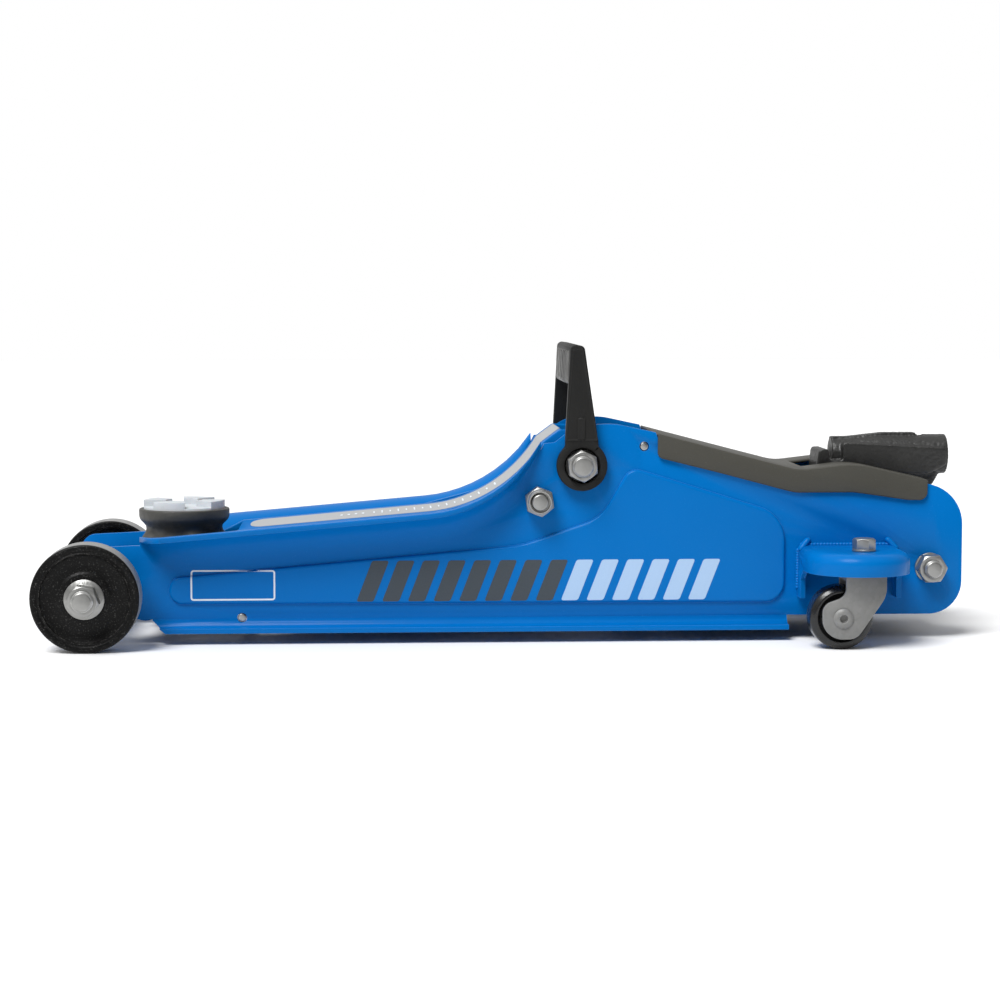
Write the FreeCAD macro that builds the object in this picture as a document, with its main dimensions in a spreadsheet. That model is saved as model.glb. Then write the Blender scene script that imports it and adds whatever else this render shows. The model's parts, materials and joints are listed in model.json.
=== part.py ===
import FreeCAD, Part
import math
import os
import re
import Sketcher
from FreeCAD import Placement, Rotation, Vector

# A low-entry trolley jack. X runs from the front wheels (-X) to the handle socket (+X), Y across, Z up,
# with the origin on the floor under the middle. Every piece of a left and right pair is made on the
# left, at -Y, and mirrored.

SIZES = [
    # the whole jack
    ("overall_length", 558, "front of the front wheels to the rear edge of the side plates"),
    ("overall_width", 216, "across the two castor brackets"),
    ("frame_width", 92, "across the outer faces of the side plates"),
    ("plate_thick", 3, "side plate sheet"),
    ("bolt_gap", 0.1, "radial gap round a bolt that is clamped"),
    ("run_gap", 0.05, "radial gap of a turning or sliding fit"),
    ("side_gap", 0.3, "gap between faces that move past each other"),
    # side plates
    ("foot_height", 7, "floor to the lowest edge of the side plates"),
    ("foot_bend", 5, "inner radius of the bend at the foot"),
    ("foot_reach", 8, "how far the foot stands out of the plate"),
    ("panel_raise", 2, "height of the pressed panel"),
    ("lip_height", 64.7, "top of the lip at its front end"),
    ("lip_slope", 4.95, "rise of the straight lip, in degrees"),
    ("lip_reach", 21, "radius of the flare that ends in the lip"),
    ("lip_turn", 100, "angle that the flare turns through, in degrees"),
    ("lip_setback", 61, "front end of the jack to the front end of the lip"),
    ("sweep_radius", 87.4, "radius of the lip where it sweeps up to the arch"),
    ("sweep_lead", 91.5, "start of that sweep ahead of the main pivot"),
    ("sweep_end", 58.5, "slope at the end of the sweep, in degrees"),
    ("arch_rise", 24.5, "top of the arch above the main pivot"),
    # front wheels
    ("wheel_radius", 32, "front wheel"),
    ("wheel_width", 20, "front wheel"),
    ("wheel_track", 170, "across the outer faces of the front wheels"),
    ("axle_radius", 6, "front axle"),
    # main pivot, parallelogram linkage and lift arm
    ("pivot_x", 46.5, "main pivot behind the middle"),
    ("pivot_height", 106.5, "main pivot above the floor"),
    ("pivot_radius", 6, "main pivot bolt"),
    ("link_back", 25.5, "link pin ahead of its pivot"),
    ("link_drop", 21.5, "link pin below its pivot"),
    ("link_radius", 5, "link anchor bolts and link pin"),
    ("saddle_setback", 89, "front end of the jack to the saddle pivot"),
    ("saddle_pin_height", 44, "saddle pivot above the floor"),
    ("saddle_pin_radius", 5, "saddle pivot pin"),
    ("arm_width", 70, "across the webs of the lift arm"),
    ("arm_web", 4, "web of the lift arm"),
    ("arm_skin", 3, "top plate of the lift arm"),
    ("arm_sink", 2.5, "lip to the top plate of the lift arm"),
    ("arm_setback", 119, "front end of the jack to the front edge of the arm's top plate"),
    ("rod_thick", 4, "radius rod"),
    ("rod_height", 18, "radius rod"),
    ("rod_offset", 39.5, "middle plane of a radius rod from the centre plane"),
    # hydraulics
    ("tail_length", 55, "main pivot to the ram pin"),
    ("tail_angle", 56, "ram pin below the level through the pivot, in degrees"),
    ("ram_pin_radius", 5, "ram pin"),
    ("ram_height", 56, "ram axis above the floor"),
    ("ram_radius", 10, "ram"),
    ("bore_radius", 16, "cylinder bore"),
    ("cylinder_wall", 5, "cylinder wall"),
    ("reservoir_radius", 28, "outside of the reservoir tube"),
    ("gland_lead", 52, "main pivot to the front of the gland"),
    ("block_length", 80, "hydraulic block"),
    ("block_width", 68, "hydraulic block"),
    ("block_inset", 13, "rear face of the block to the rear edge of the plates"),
    ("block_base", 28, "underside of the block above the floor"),
    ("block_top", 62, "top of the block above the floor"),
    ("tie_inset", 20, "rear tie bolt to the rear edge of the plates"),
    ("tie_height", 43.5, "rear tie bolt above the floor"),
    ("tie_radius", 5, "rear tie bolt"),
    ("stay_radius", 2.5, "front stay pin and spring anchor rod"),
    ("stay_setback", 121.5, "front end of the jack to the front stay pin"),
    ("stay_height", 15.5, "front stay pin above the floor"),
    ("spring_rod_back", 38, "spring anchor rod behind the main pivot"),
    ("spring_rod_rise", 11.2, "spring anchor rod above the main pivot"),
    ("spring_wire", 1, "radius of the return springs' wire"),
    ("spring_radius", 4.5, "outside of a return spring's coil"),
    # nuts, across their flats and in height
    ("axle_nut_flats", 17, "front axle nut"),
    ("axle_nut_height", 11, "front axle nut with its flange"),
    ("pivot_nut_flats", 17, "main pivot nut"),
    ("pivot_nut_height", 10, "main pivot nut with its flange"),
    ("frame_nut_flats", 16, "link anchor nuts and rear tie nuts"),
    ("frame_nut_height", 9, "link anchor nuts and rear tie nuts"),
    ("castor_bolt_flats", 12, "castor bolt head"),
    ("castor_bolt_head", 6.3, "height of the castor bolt head"),
    # saddle
    ("saddle_lead", 4.7, "saddle axis ahead of the saddle pivot"),
    ("saddle_radius", 27.7, "rim of the saddle"),
    ("saddle_base", 58, "underside of the saddle above the floor"),
    ("saddle_rim", 78, "rim of the saddle above the floor"),
    ("pad_top", 83, "lugs of the pad above the floor"),
    ("stem_radius", 8, "stem of the saddle"),
    # castors
    ("castor_inset", 68, "castor bolt to the rear edge of the plates"),
    ("castor_reach", 24, "castor bolt to the outer edge of its bracket"),
    ("castor_radius", 19, "castor wheel"),
    ("castor_width", 17, "castor wheel"),
    ("castor_trail", 14, "castor axle ahead of its bolt"),
    ("castor_bolt", 4, "castor bolt and axle radius"),
    ("bracket_top", 57.5, "top face of the castor bracket above the floor"),
    ("bracket_thick", 3, "castor bracket sheet"),
    ("bracket_span", 61.4, "castor bracket along the plate"),
    ("bracket_lead", 2.3, "middle of a castor bracket ahead of its bolt"),
    ("fork_top", 43.5, "top face of the castor fork above the floor"),
    ("fork_thick", 2.5, "castor fork sheet"),
    # carry handle
    ("handle_height", 179.2, "top of the carry handle above the floor"),
    ("grip_depth", 19.5, "crossbar of the carry handle"),
    ("boss_radius", 15.2, "carry handle boss"),
    ("boss_thick", 6.5, "carry handle boss"),
    ("boss_recess", 10.6, "radius of the recess for the pivot nut"),
    ("bush_radius", 7.5, "bush that the carry handle turns on"),
    # rear cover and handle socket
    ("cover_wall", 2, "rear cover wall"),
    ("cover_height", 106, "crown of the rear cover above the floor"),
    ("slot_width", 45, "slot of the rear cover"),
    ("socket_inset", 75, "socket pivot to the rear edge of the plates"),
    ("socket_pin_height", 93, "socket pivot above the floor"),
    ("socket_height", 109.7, "axis of the handle socket above the floor"),
    ("socket_radius", 12.3, "outside of the handle socket"),
    ("socket_bore", 9.6, "radius of the handle socket's bore"),
    ("socket_depth", 58, "depth of the handle socket's bore"),
    ("plunger_radius", 7, "pump plunger"),
    ("roller_radius", 5, "pump roller"),
    ("roller_half", 10, "half the length of the pump roller"),
    ("roller_lead", 24, "pump roller behind the socket pivot"),
    ("roller_drop", 9, "pump roller below the socket pivot"),
    ("socket_pin_radius", 4, "pin that the handle socket turns on"),
    ("roller_pin_radius", 2.5, "pin that the pump roller turns on"),
    ("valve_inset", 22, "release valve to the rear face of the block"),
    ("valve_radius", 4, "spindle of the release valve"),
]

doc = FreeCAD.newDocument("trolley_jack")
sheet = doc.addObject("Spreadsheet::Sheet", "sizes")
for row, (alias, number, meaning) in enumerate(SIZES, 1):
    sheet.set(f"A{row}", str(number))
    sheet.setAlias(f"A{row}", alias)
    sheet.set(f"B{row}", meaning)
doc.recompute()
ALIASES = {alias for alias, number, meaning in SIZES}

# Places worked out from the sheet, as expressions that features are bound to.
FRONT_X = "(-overall_length / 2)"
REAR_X = "(overall_length / 2)"
AXLE_X = f"({FRONT_X} + wheel_radius)"
PLATE_IN = "(frame_width / 2 - plate_thick)"
PLATE_OUT = "(frame_width / 2)"
SADDLE_PIN_X = f"({FRONT_X} + saddle_setback)"
SADDLE_X = f"({SADDLE_PIN_X} - saddle_lead)"
ANCHOR_X = "(pivot_x - link_back)"
ANCHOR_Z = "(pivot_height - link_drop)"
LINK_X = f"({SADDLE_PIN_X} - link_back)"
LINK_Z = "(saddle_pin_height - link_drop)"
RAM_PIN_X = "(pivot_x + tail_length * cos(tail_angle))"
RAM_PIN_Z = "(pivot_height - tail_length * sin(tail_angle))"
TIE_X = f"({REAR_X} - tie_inset)"
CASTOR_X = f"({REAR_X} - castor_inset)"
CASTOR_Y = "(overall_width / 2 - castor_reach)"
BRACKET_X = f"({CASTOR_X} - bracket_lead)"
FOOT_X = f"({AXLE_X} + 36)"
CASTOR_AXLE_X = f"({CASTOR_X} - castor_trail)"
GLAND_X = "(pivot_x + gland_lead)"
BLOCK_REAR_X = f"({REAR_X} - block_inset)"
BLOCK_FRONT_X = f"({BLOCK_REAR_X} - block_length)"
SOCKET_X = f"({REAR_X} - socket_inset)"
ROLLER_X = f"({SOCKET_X} + roller_lead)"
ROLLER_Z = "(socket_pin_height - roller_drop)"
VALVE_X = f"({BLOCK_REAR_X} - valve_inset)"
STAY_X = f"({FRONT_X} + stay_setback)"
ROD_ANCHOR_X = "(pivot_x + spring_rod_back)"
ROD_ANCHOR_Z = "(pivot_height + spring_rod_rise)"

nodes = {}


def linked(text):
    """The expression with each of the sheet's words pointing at its cell."""
    return re.sub(r"[a-z]\w*", lambda word: f"sizes.{word[0]}" if word[0] in ALIASES else word[0], str(text))


def value(text):
    """What an expression comes to, in millimetres or degrees."""
    return float(sheet.evalExpression(str(text)))


def bind(item, **expressions):
    """Ties properties of an object to expressions on the sheet. A double underscore stands for a dot."""
    for name, text in expressions.items():
        item.setExpression(name.replace("__", "."), linked(text))
    return item


def place(item, at, turn=None):
    """Puts an object at three expressions, turned by a rotation."""
    if turn:
        item.Placement = Placement(Vector(0, 0, 0), turn)
    for axis, text in zip("xyz", at):
        item.setExpression(f"Placement.Base.{axis}", linked(text))
    return item


def keep(item, label):
    """Makes an object a node of its own."""
    item.Label = label
    nodes[label] = item
    return item


# Turns that lay a piece made along Z.
OUTWARD = Rotation(Vector(1, 0, 0), 90)  # towards -Y, out of the left side
REARWARD = Rotation(Vector(0, 1, 0), 90)  # towards +X


def body(name):
    return doc.addObject("PartDesign::Body", name)


def sketch(owner, role, offset="0"):
    """A sketch on one of the body's own origin planes, moved along its normal."""
    drawing = owner.newObject("Sketcher::SketchObject", owner.Name + "_sketch")
    base = next(part for part in owner.Origin.OriginFeatures if part.Role == role)
    drawing.AttachmentSupport = [(base, "")]
    drawing.MapMode = "FlatFace"
    drawing.setExpression("AttachmentOffset.Base.z", linked(offset))
    return drawing


def polygon(drawing, corners):
    """A closed outline of straight lines, each corner bound to its own two expressions."""
    points = [Vector(value(across), value(up), 0) for across, up in corners]
    count = len(points)
    first = drawing.GeometryCount
    lines = [Part.LineSegment(points[i], points[(i + 1) % count]) for i in range(count)]
    drawing.addGeometry(lines, False)
    for i, corner in enumerate(corners):
        drawing.addConstraint(Sketcher.Constraint("Coincident", first + i, 2, first + (i + 1) % count, 1))
        for kind, text in zip(("DistanceX", "DistanceY"), corner):
            number = drawing.addConstraint(Sketcher.Constraint(kind, -1, 1, first + i, 1, value(text)))
            drawing.setExpression(f"Constraints[{number}]", linked(text))


def circle(drawing, across, up, radius):
    """A circle bound to its centre and radius."""
    centre = Vector(value(across), value(up), 0)
    number = drawing.addGeometry(Part.Circle(centre, Vector(0, 0, 1), value(radius)), False)
    held = (("DistanceX", across, (-1, 1, number, 3)), ("DistanceY", up, (-1, 1, number, 3)))
    for kind, text, ends in held:
        which = drawing.addConstraint(Sketcher.Constraint(kind, *ends, value(text)))
        drawing.setExpression(f"Constraints[{which}]", linked(text))
    which = drawing.addConstraint(Sketcher.Constraint("Radius", number, value(radius)))
    drawing.setExpression(f"Constraints[{which}]", linked(radius))


def rounded(corners):
    """The lines and arcs of a closed outline whose corners are (across, up, radius)."""
    points = [Vector(across, up, 0) for across, up, radius in corners]
    count = len(points)
    ends = []
    for i, (across, up, radius) in enumerate(corners):
        before = (points[i - 1] - points[i]).normalize()
        after = (points[(i + 1) % count] - points[i]).normalize()
        half = before.getAngle(after) / 2
        if not radius:
            ends.append((points[i], None, points[i]))
            continue
        back = radius / math.tan(half)
        middle = points[i] + (before + after).normalize() * (radius / math.sin(half) - radius)
        ends.append((points[i] + before * back, middle, points[i] + after * back))
    pieces = []
    for i, (start, middle, end) in enumerate(ends):
        if middle:
            pieces.append(Part.Arc(start, middle, end))
        following = ends[(i + 1) % count][0]
        if (following - end).Length > 1e-6:
            pieces.append(Part.LineSegment(end, following))
    return pieces


def pad(owner, drawing, length, reverse=False, middle=False):
    feature = owner.newObject("PartDesign::Pad", owner.Name + "_pad")
    feature.Profile = drawing
    feature.Reversed = reverse
    feature.Midplane = middle
    return bind(feature, Length=length)


def pocket(owner, drawing, length=None, reverse=False, middle=False):
    """Cuts a sketch out of a body, to a bound length or right through both ways."""
    doc.recompute()
    before = owner.Shape.Volume
    feature = owner.newObject("PartDesign::Pocket", owner.Name + "_pocket")
    feature.Profile = drawing
    feature.Reversed = reverse
    feature.Midplane = middle
    if length is None:
        feature.Midplane = True
        feature.Type = 1
    else:
        bind(feature, Length=length)
    doc.recompute()
    if not owner.Shape.Volume < before - 1e-3:
        raise ValueError(f"a pocket of {owner.Name} cuts nothing")
    return feature


def soften(owner, radius, chosen):
    """Rounds the edges of the body's tip that a test picks."""
    doc.recompute()
    base = owner.Tip
    picked = [f"Edge{i}" for i, edge in enumerate(base.Shape.Edges, 1) if chosen(edge)]
    if not picked:
        raise ValueError(f"no edge of {owner.Name} to soften")
    feature = owner.newObject("PartDesign::Fillet", owner.Name + "_fillet")
    feature.Base = (base, picked)
    return bind(feature, Radius=radius)


def turned(name, corners, at=("0", "0", "0"), turn=None):
    """A body turned about Z from an outline of (radius, height) corners."""
    owner = body(name)
    drawing = sketch(owner, "XZ_Plane")
    polygon(drawing, corners)
    feature = owner.newObject("PartDesign::Revolution", name + "_turn")
    feature.Profile = drawing
    feature.ReferenceAxis = (drawing, ["V_Axis"])
    feature.Angle = 360
    return place(owner, at, turn)


def tube(name, outer, inner, start, end, at=("0", "0", "0"), turn=None):
    """A plain ring or tube from one height to another."""
    return turned(name, [(inner, start), (outer, start), (outer, end), (inner, end)], at, turn)


def shaft(name, radius, start, end, chamfer, at=("0", "0", "0"), turn=None):
    """A round bar with bevelled ends."""
    corners = [
        ("0", start),
        (f"{radius} - {chamfer}", start),
        (radius, f"{start} + {chamfer}"),
        (radius, f"{end} - {chamfer}"),
        (f"{radius} - {chamfer}", end),
        ("0", end),
    ]
    return turned(name, corners, at, turn)


def combine(kind, name, **links):
    """A Part boolean or compound of objects already made."""
    item = doc.addObject(kind, name)
    for prop, target in links.items():
        setattr(item, prop, target)
    return item


def mirrored(source, label=None):
    """The right-hand copy of a left-hand piece."""
    item = doc.addObject("Part::Mirroring", source.Name + "_right")
    item.Source = source
    item.Normal = Vector(0, 1, 0)
    return keep(item, label) if label else item


def pair(source, label):
    """A node that holds a left-hand piece and its mirror image, as two solids."""
    return keep(combine("Part::Compound", label, Links=[source, mirrored(source)]), label)


def both(source, name):
    """Two nodes, NAME_left and NAME_right, from a left-hand piece."""
    keep(source, name + "_left")
    mirrored(source, name + "_right")


def hexagon(name, flats, height):
    """A six-sided prism along Z with its outer corners bevelled off."""
    prism = doc.addObject("Part::Prism", name + "_prism")
    bind(prism, Circumradius=f"{flats} / sqrt(3)", Height=height)
    prism.Polygon = 6
    bevel = f"({flats} / sqrt(3) - {flats} / 2)"
    corners = [
        ("0", "0"),
        (f"{flats} / sqrt(3)", "0"),
        (f"{flats} / sqrt(3)", f"{height} - {bevel}"),
        (f"{flats} / 2 - 0.2", height),
        ("0", height),
    ]
    return combine("Part::Common", name + "_hexagon", Base=prism, Tool=turned(name + "_cone", corners))


def nut(name, flats, height, bore, at, twist, flange=None, flange_height="1.5"):
    """A hexagon nut on the left side, tightened to an angle, with a flange where its radius is given."""
    hexed = hexagon(name, flats, height)
    if flange:
        rim = [("0", "0"), (flange, "0"), (flange, f"{flange_height} / 2"), (f"{flats} / 2", flange_height)]
        disc = turned(name + "_flange", rim + [("0", flange_height)])
        hexed = combine("Part::MultiFuse", name + "_flanged", Shapes=[hexed, disc])
    hole = doc.addObject("Part::Cylinder", name + "_hole")
    bind(hole, Radius=bore, Height=height)
    turn = OUTWARD.multiply(Rotation(Vector(0, 0, 1), twist))
    return place(combine("Part::Cut", name, Base=hexed, Tool=hole), at, turn)


# ---- side plates ---------------------------------------------------------------------------------


def lip_top(along):
    """Height of the lip's top edge at a place along X: a straight rise, then a circular sweep."""
    slope = math.radians(value("lip_slope"))
    start = value("pivot_x - sweep_lead")
    front = value(f"{FRONT_X} + lip_setback")
    if along <= start:
        return value("lip_height") + math.tan(slope) * (along - front)
    level = value("lip_height") + math.tan(slope) * (start - front)
    radius = value("sweep_radius")
    angle = math.asin(math.sin(slope) + (along - start) / radius)
    return level + radius * (math.cos(slope) - math.cos(angle))


def sweep_end():
    """The point where the lip's sweep ends."""
    slope = math.radians(value("lip_slope"))
    along = value("pivot_x - sweep_lead")
    along += value("sweep_radius") * (math.sin(math.radians(value("sweep_end"))) - math.sin(slope))
    return along, lip_top(along)


def lip_stations():
    """(place along X, flare radius) where the flare's section is set: full between two tapered ends."""
    front = value(f"{FRONT_X} + lip_setback")
    start = value("pivot_x - sweep_lead")
    end = sweep_end()[0]
    full = value("lip_reach")
    least = value("plate_thick + 1.5")
    taper = [
        (front + 13 * share, least + (full - least) * math.sin(share * math.pi / 2))
        for share in (0.3, 0.6, 1)
    ]
    steps = [step / 9 for step in range(10)]
    swept = [(start + (end - start) * share, full + (least - full) * share**2.5) for share in steps]
    return [(front, least)] + taper + swept


def flare_section(drawing, along, radius):
    """The sheet's section across the flare: a short upright leg, then an arc that ends in the lip."""
    inner = value(PLATE_IN)
    sheet_thick = value("plate_thick")
    turn = math.radians(value("lip_turn"))
    level = lip_top(along) - radius
    leg = 4
    centre = Vector(-inner - radius, level, 0)
    up = Vector(0, 0, 1)
    tips = [centre + Vector(math.cos(turn), math.sin(turn), 0) * r for r in (radius, radius - sheet_thick)]
    starts = [centre + Vector(r, 0, 0) for r in (radius, radius - sheet_thick)]
    feet = [start - Vector(0, leg, 0) for start in starts]
    drawing.addGeometry(
        [
            Part.LineSegment(feet[0], starts[0]),
            Part.ArcOfCircle(Part.Circle(centre, up, radius), 0, turn),
            Part.LineSegment(tips[0], tips[1]),
            Part.ArcOfCircle(Part.Circle(centre, up, radius - sheet_thick), 0, turn),
            Part.LineSegment(starts[1], feet[1]),
            Part.LineSegment(feet[1], feet[0]),
        ],
        False,
    )


def cover_line(drop):
    """Corners of the rear cover's top edge from its rear to its front, moved down by a drop."""
    rear = value(REAR_X)
    pivot = value("pivot_x")
    high = value("cover_height") - drop
    arch = value("pivot_height + arch_rise") - drop
    return [
        (rear - 22, high - 9, 0),
        (rear - 67, high + 1.2, 60),
        (rear - 101, high - 2.8, 30),
        (pivot + 104, high + 4.3, 30),
        (pivot + 46, arch - 5.5, 0),
    ]


def plate_outline():
    """The side plate as a flat sheet, without its lip and foot."""
    axle = value(AXLE_X)
    rear = value(REAR_X)
    base = value("foot_height + foot_bend + plate_thick")
    pivot = value("pivot_x")
    arch = value("pivot_height + arch_rise")
    under_cover = cover_line(value("cover_wall + 2 * side_gap"))
    end, end_top = sweep_end()
    edge = [(along, lip_top(along) - radius - 1, 0) for along, radius in reversed(lip_stations())]
    nose = [(axle - 14, 57.4, 9), (axle - 19, 34, 8), (axle - 19, base, 14)]
    tail = [(rear, base, 20), (rear, value("cover_height") - 15, 25)]
    crown = [(pivot + 45, arch - 4.9, 0), (pivot + 20, arch + 0.5, 40), (pivot - 3, arch - 0.5, 20)]
    dip = [(end + 8.5, end_top - 0.9, 4), (end + 2, end_top - 1.5, 0)]
    return rounded(tail + under_cover + crown + dip + edge + [(axle + 24.5, 59.2, 0)] + nose)


def panel_outline():
    """The pressed panel: a long low part that widens behind the main pivot."""
    nose = value(f"{AXLE_X} + 45")
    tail = value(f"{CASTOR_X} - 40.5")
    pivot = value("pivot_x")
    crown = value("pivot_height")
    return rounded(
        [
            (nose, 24, 8),
            (tail, 23, 12),
            (tail, crown - 30.5, 22),
            (pivot + 29.5, crown - 1, 9),
            (pivot + 11.5, crown - 31.5, 26),
            (pivot - 36.5, crown - 48, 60),
            (nose + 2, 40, 7),
        ]
    )


def side_plate():
    plate = body("side_plate_left")
    flat = sketch(plate, "XZ_Plane", PLATE_IN)
    flat.addGeometry(plate_outline(), False)
    pad(plate, flat, "plate_thick")

    sections = []
    for along, radius in lip_stations():
        section = sketch(plate, "YZ_Plane", along)
        flare_section(section, along, radius)
        sections.append(section)
    flare = plate.newObject("PartDesign::AdditiveLoft", "side_plate_flare")
    flare.Profile = sections[0]
    flare.Sections = sections[1:]
    flare.Ruled = True

    foot = sketch(plate, "YZ_Plane", FOOT_X)
    bend = value("foot_bend")
    outer = bend + value("plate_thick")
    centre = Vector(-value(PLATE_OUT) - bend, value("foot_height") + outer, 0)
    toe = -value(PLATE_OUT) - value("foot_reach")
    up = Vector(0, 0, 1)
    low = centre.y - outer
    foot.addGeometry(
        [
            Part.ArcOfCircle(Part.Circle(centre, up, outer), -math.pi / 2, 0),
            Part.LineSegment(centre + Vector(outer, 0, 0), centre + Vector(bend, 0, 0)),
            Part.ArcOfCircle(Part.Circle(centre, up, bend), -math.pi / 2, 0),
            Part.LineSegment(centre - Vector(0, bend, 0), Vector(toe, centre.y - bend, 0)),
            Part.LineSegment(Vector(toe, centre.y - bend, 0), Vector(toe, low, 0)),
            Part.LineSegment(Vector(toe, low, 0), centre - Vector(0, outer, 0)),
        ],
        False,
    )
    pad(plate, foot, f"{CASTOR_X} - 39 - {FOOT_X}")
    slope = sketch(plate, "XZ_Plane")
    polygon(
        slope,
        [
            (f"{FOOT_X} - 1", "foot_height + foot_bend + plate_thick"),
            (f"{FOOT_X} - 1", "0"),
            (f"{FOOT_X} + foot_reach + 2", "0"),
            (f"{FOOT_X} + foot_reach", "foot_height"),
        ],
    )
    pocket(plate, slope)

    panel = sketch(plate, "XZ_Plane", PLATE_OUT)
    panel.addGeometry(panel_outline(), False)
    pad(plate, panel, "panel_raise")
    raised = -value(f"{PLATE_OUT} + panel_raise")
    soften(plate, "panel_raise * 0.9", lambda edge: all(abs(v.Y - raised) < 1e-4 for v in edge.Vertexes))

    holes = sketch(plate, "XZ_Plane")
    circle(holes, AXLE_X, "wheel_radius", "axle_radius + bolt_gap")
    circle(holes, "pivot_x", "pivot_height", "pivot_radius + bolt_gap")
    circle(holes, ANCHOR_X, ANCHOR_Z, "link_radius + bolt_gap")
    circle(holes, TIE_X, "tie_height", "tie_radius + bolt_gap")
    circle(holes, STAY_X, "stay_height", "stay_radius + 0.4")
    circle(holes, ROD_ANCHOR_X, ROD_ANCHOR_Z, "stay_radius + 0.4")
    pocket(plate, holes)
    both(plate, "side_plate")


# ---- castors -------------------------------------------------------------------------------------


def bracket_plan(inset):
    """The D-shaped plan of a castor bracket, moved in by a wall."""
    half = value("bracket_span") / 2
    middle = value(BRACKET_X)
    plate = value(PLATE_OUT)
    outer = value("overall_width") / 2
    round_centre = outer - half
    reach = half - inset
    top = Vector(middle - reach, -round_centre, 0)
    end = Vector(middle + reach, -round_centre, 0)
    return [
        Part.LineSegment(Vector(middle - reach, -plate, 0), top),
        Part.Arc(top, Vector(middle, -round_centre - reach, 0), end),
        Part.LineSegment(end, Vector(middle + reach, -plate, 0)),
        Part.LineSegment(Vector(middle + reach, -plate, 0), Vector(middle - reach, -plate, 0)),
    ]


def castor_bracket():
    bracket = body("castor_bracket_left")
    plan = sketch(bracket, "XY_Plane", "fork_top + 1")
    plan.addGeometry(bracket_plan(0), False)
    pad(bracket, plan, "bracket_top - fork_top - 1")
    top = value("bracket_top")
    wall_start = value(PLATE_OUT) + 1

    def rim(edge):
        return all(abs(v.Z - top) < 1e-4 for v in edge.Vertexes) and edge.CenterOfMass.y < -wall_start

    soften(bracket, "bracket_thick * 2.2", rim)
    hollow = sketch(bracket, "XY_Plane", "bracket_top - bracket_thick")
    hollow.addGeometry(bracket_plan(value("bracket_thick")), False)
    pocket(bracket, hollow, "bracket_top")
    for side in (f"-bracket_span / 2 + {BRACKET_X}", f"bracket_span / 2 - bracket_thick + {BRACKET_X}"):
        gusset = sketch(bracket, "YZ_Plane", side)
        polygon(
            gusset,
            [
                (f"-{PLATE_OUT}", "bracket_top - 6"),
                (f"-{PLATE_OUT}", "bracket_top - 31"),
                (f"-{PLATE_OUT} - 12", "bracket_top - 31"),
                (f"-{PLATE_OUT} - 12", "bracket_top - 19"),
                (f"-{PLATE_OUT} - 22", "bracket_top - 12"),
                (f"-{PLATE_OUT} - 22", "bracket_top - 6"),
            ],
        )
        pad(bracket, gusset, "bracket_thick")
    bore = sketch(bracket, "XY_Plane")
    circle(bore, CASTOR_X, f"-{CASTOR_Y}", "castor_bolt + bolt_gap")
    pocket(bracket, bore)
    both(bracket, "castor_bracket")


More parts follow.
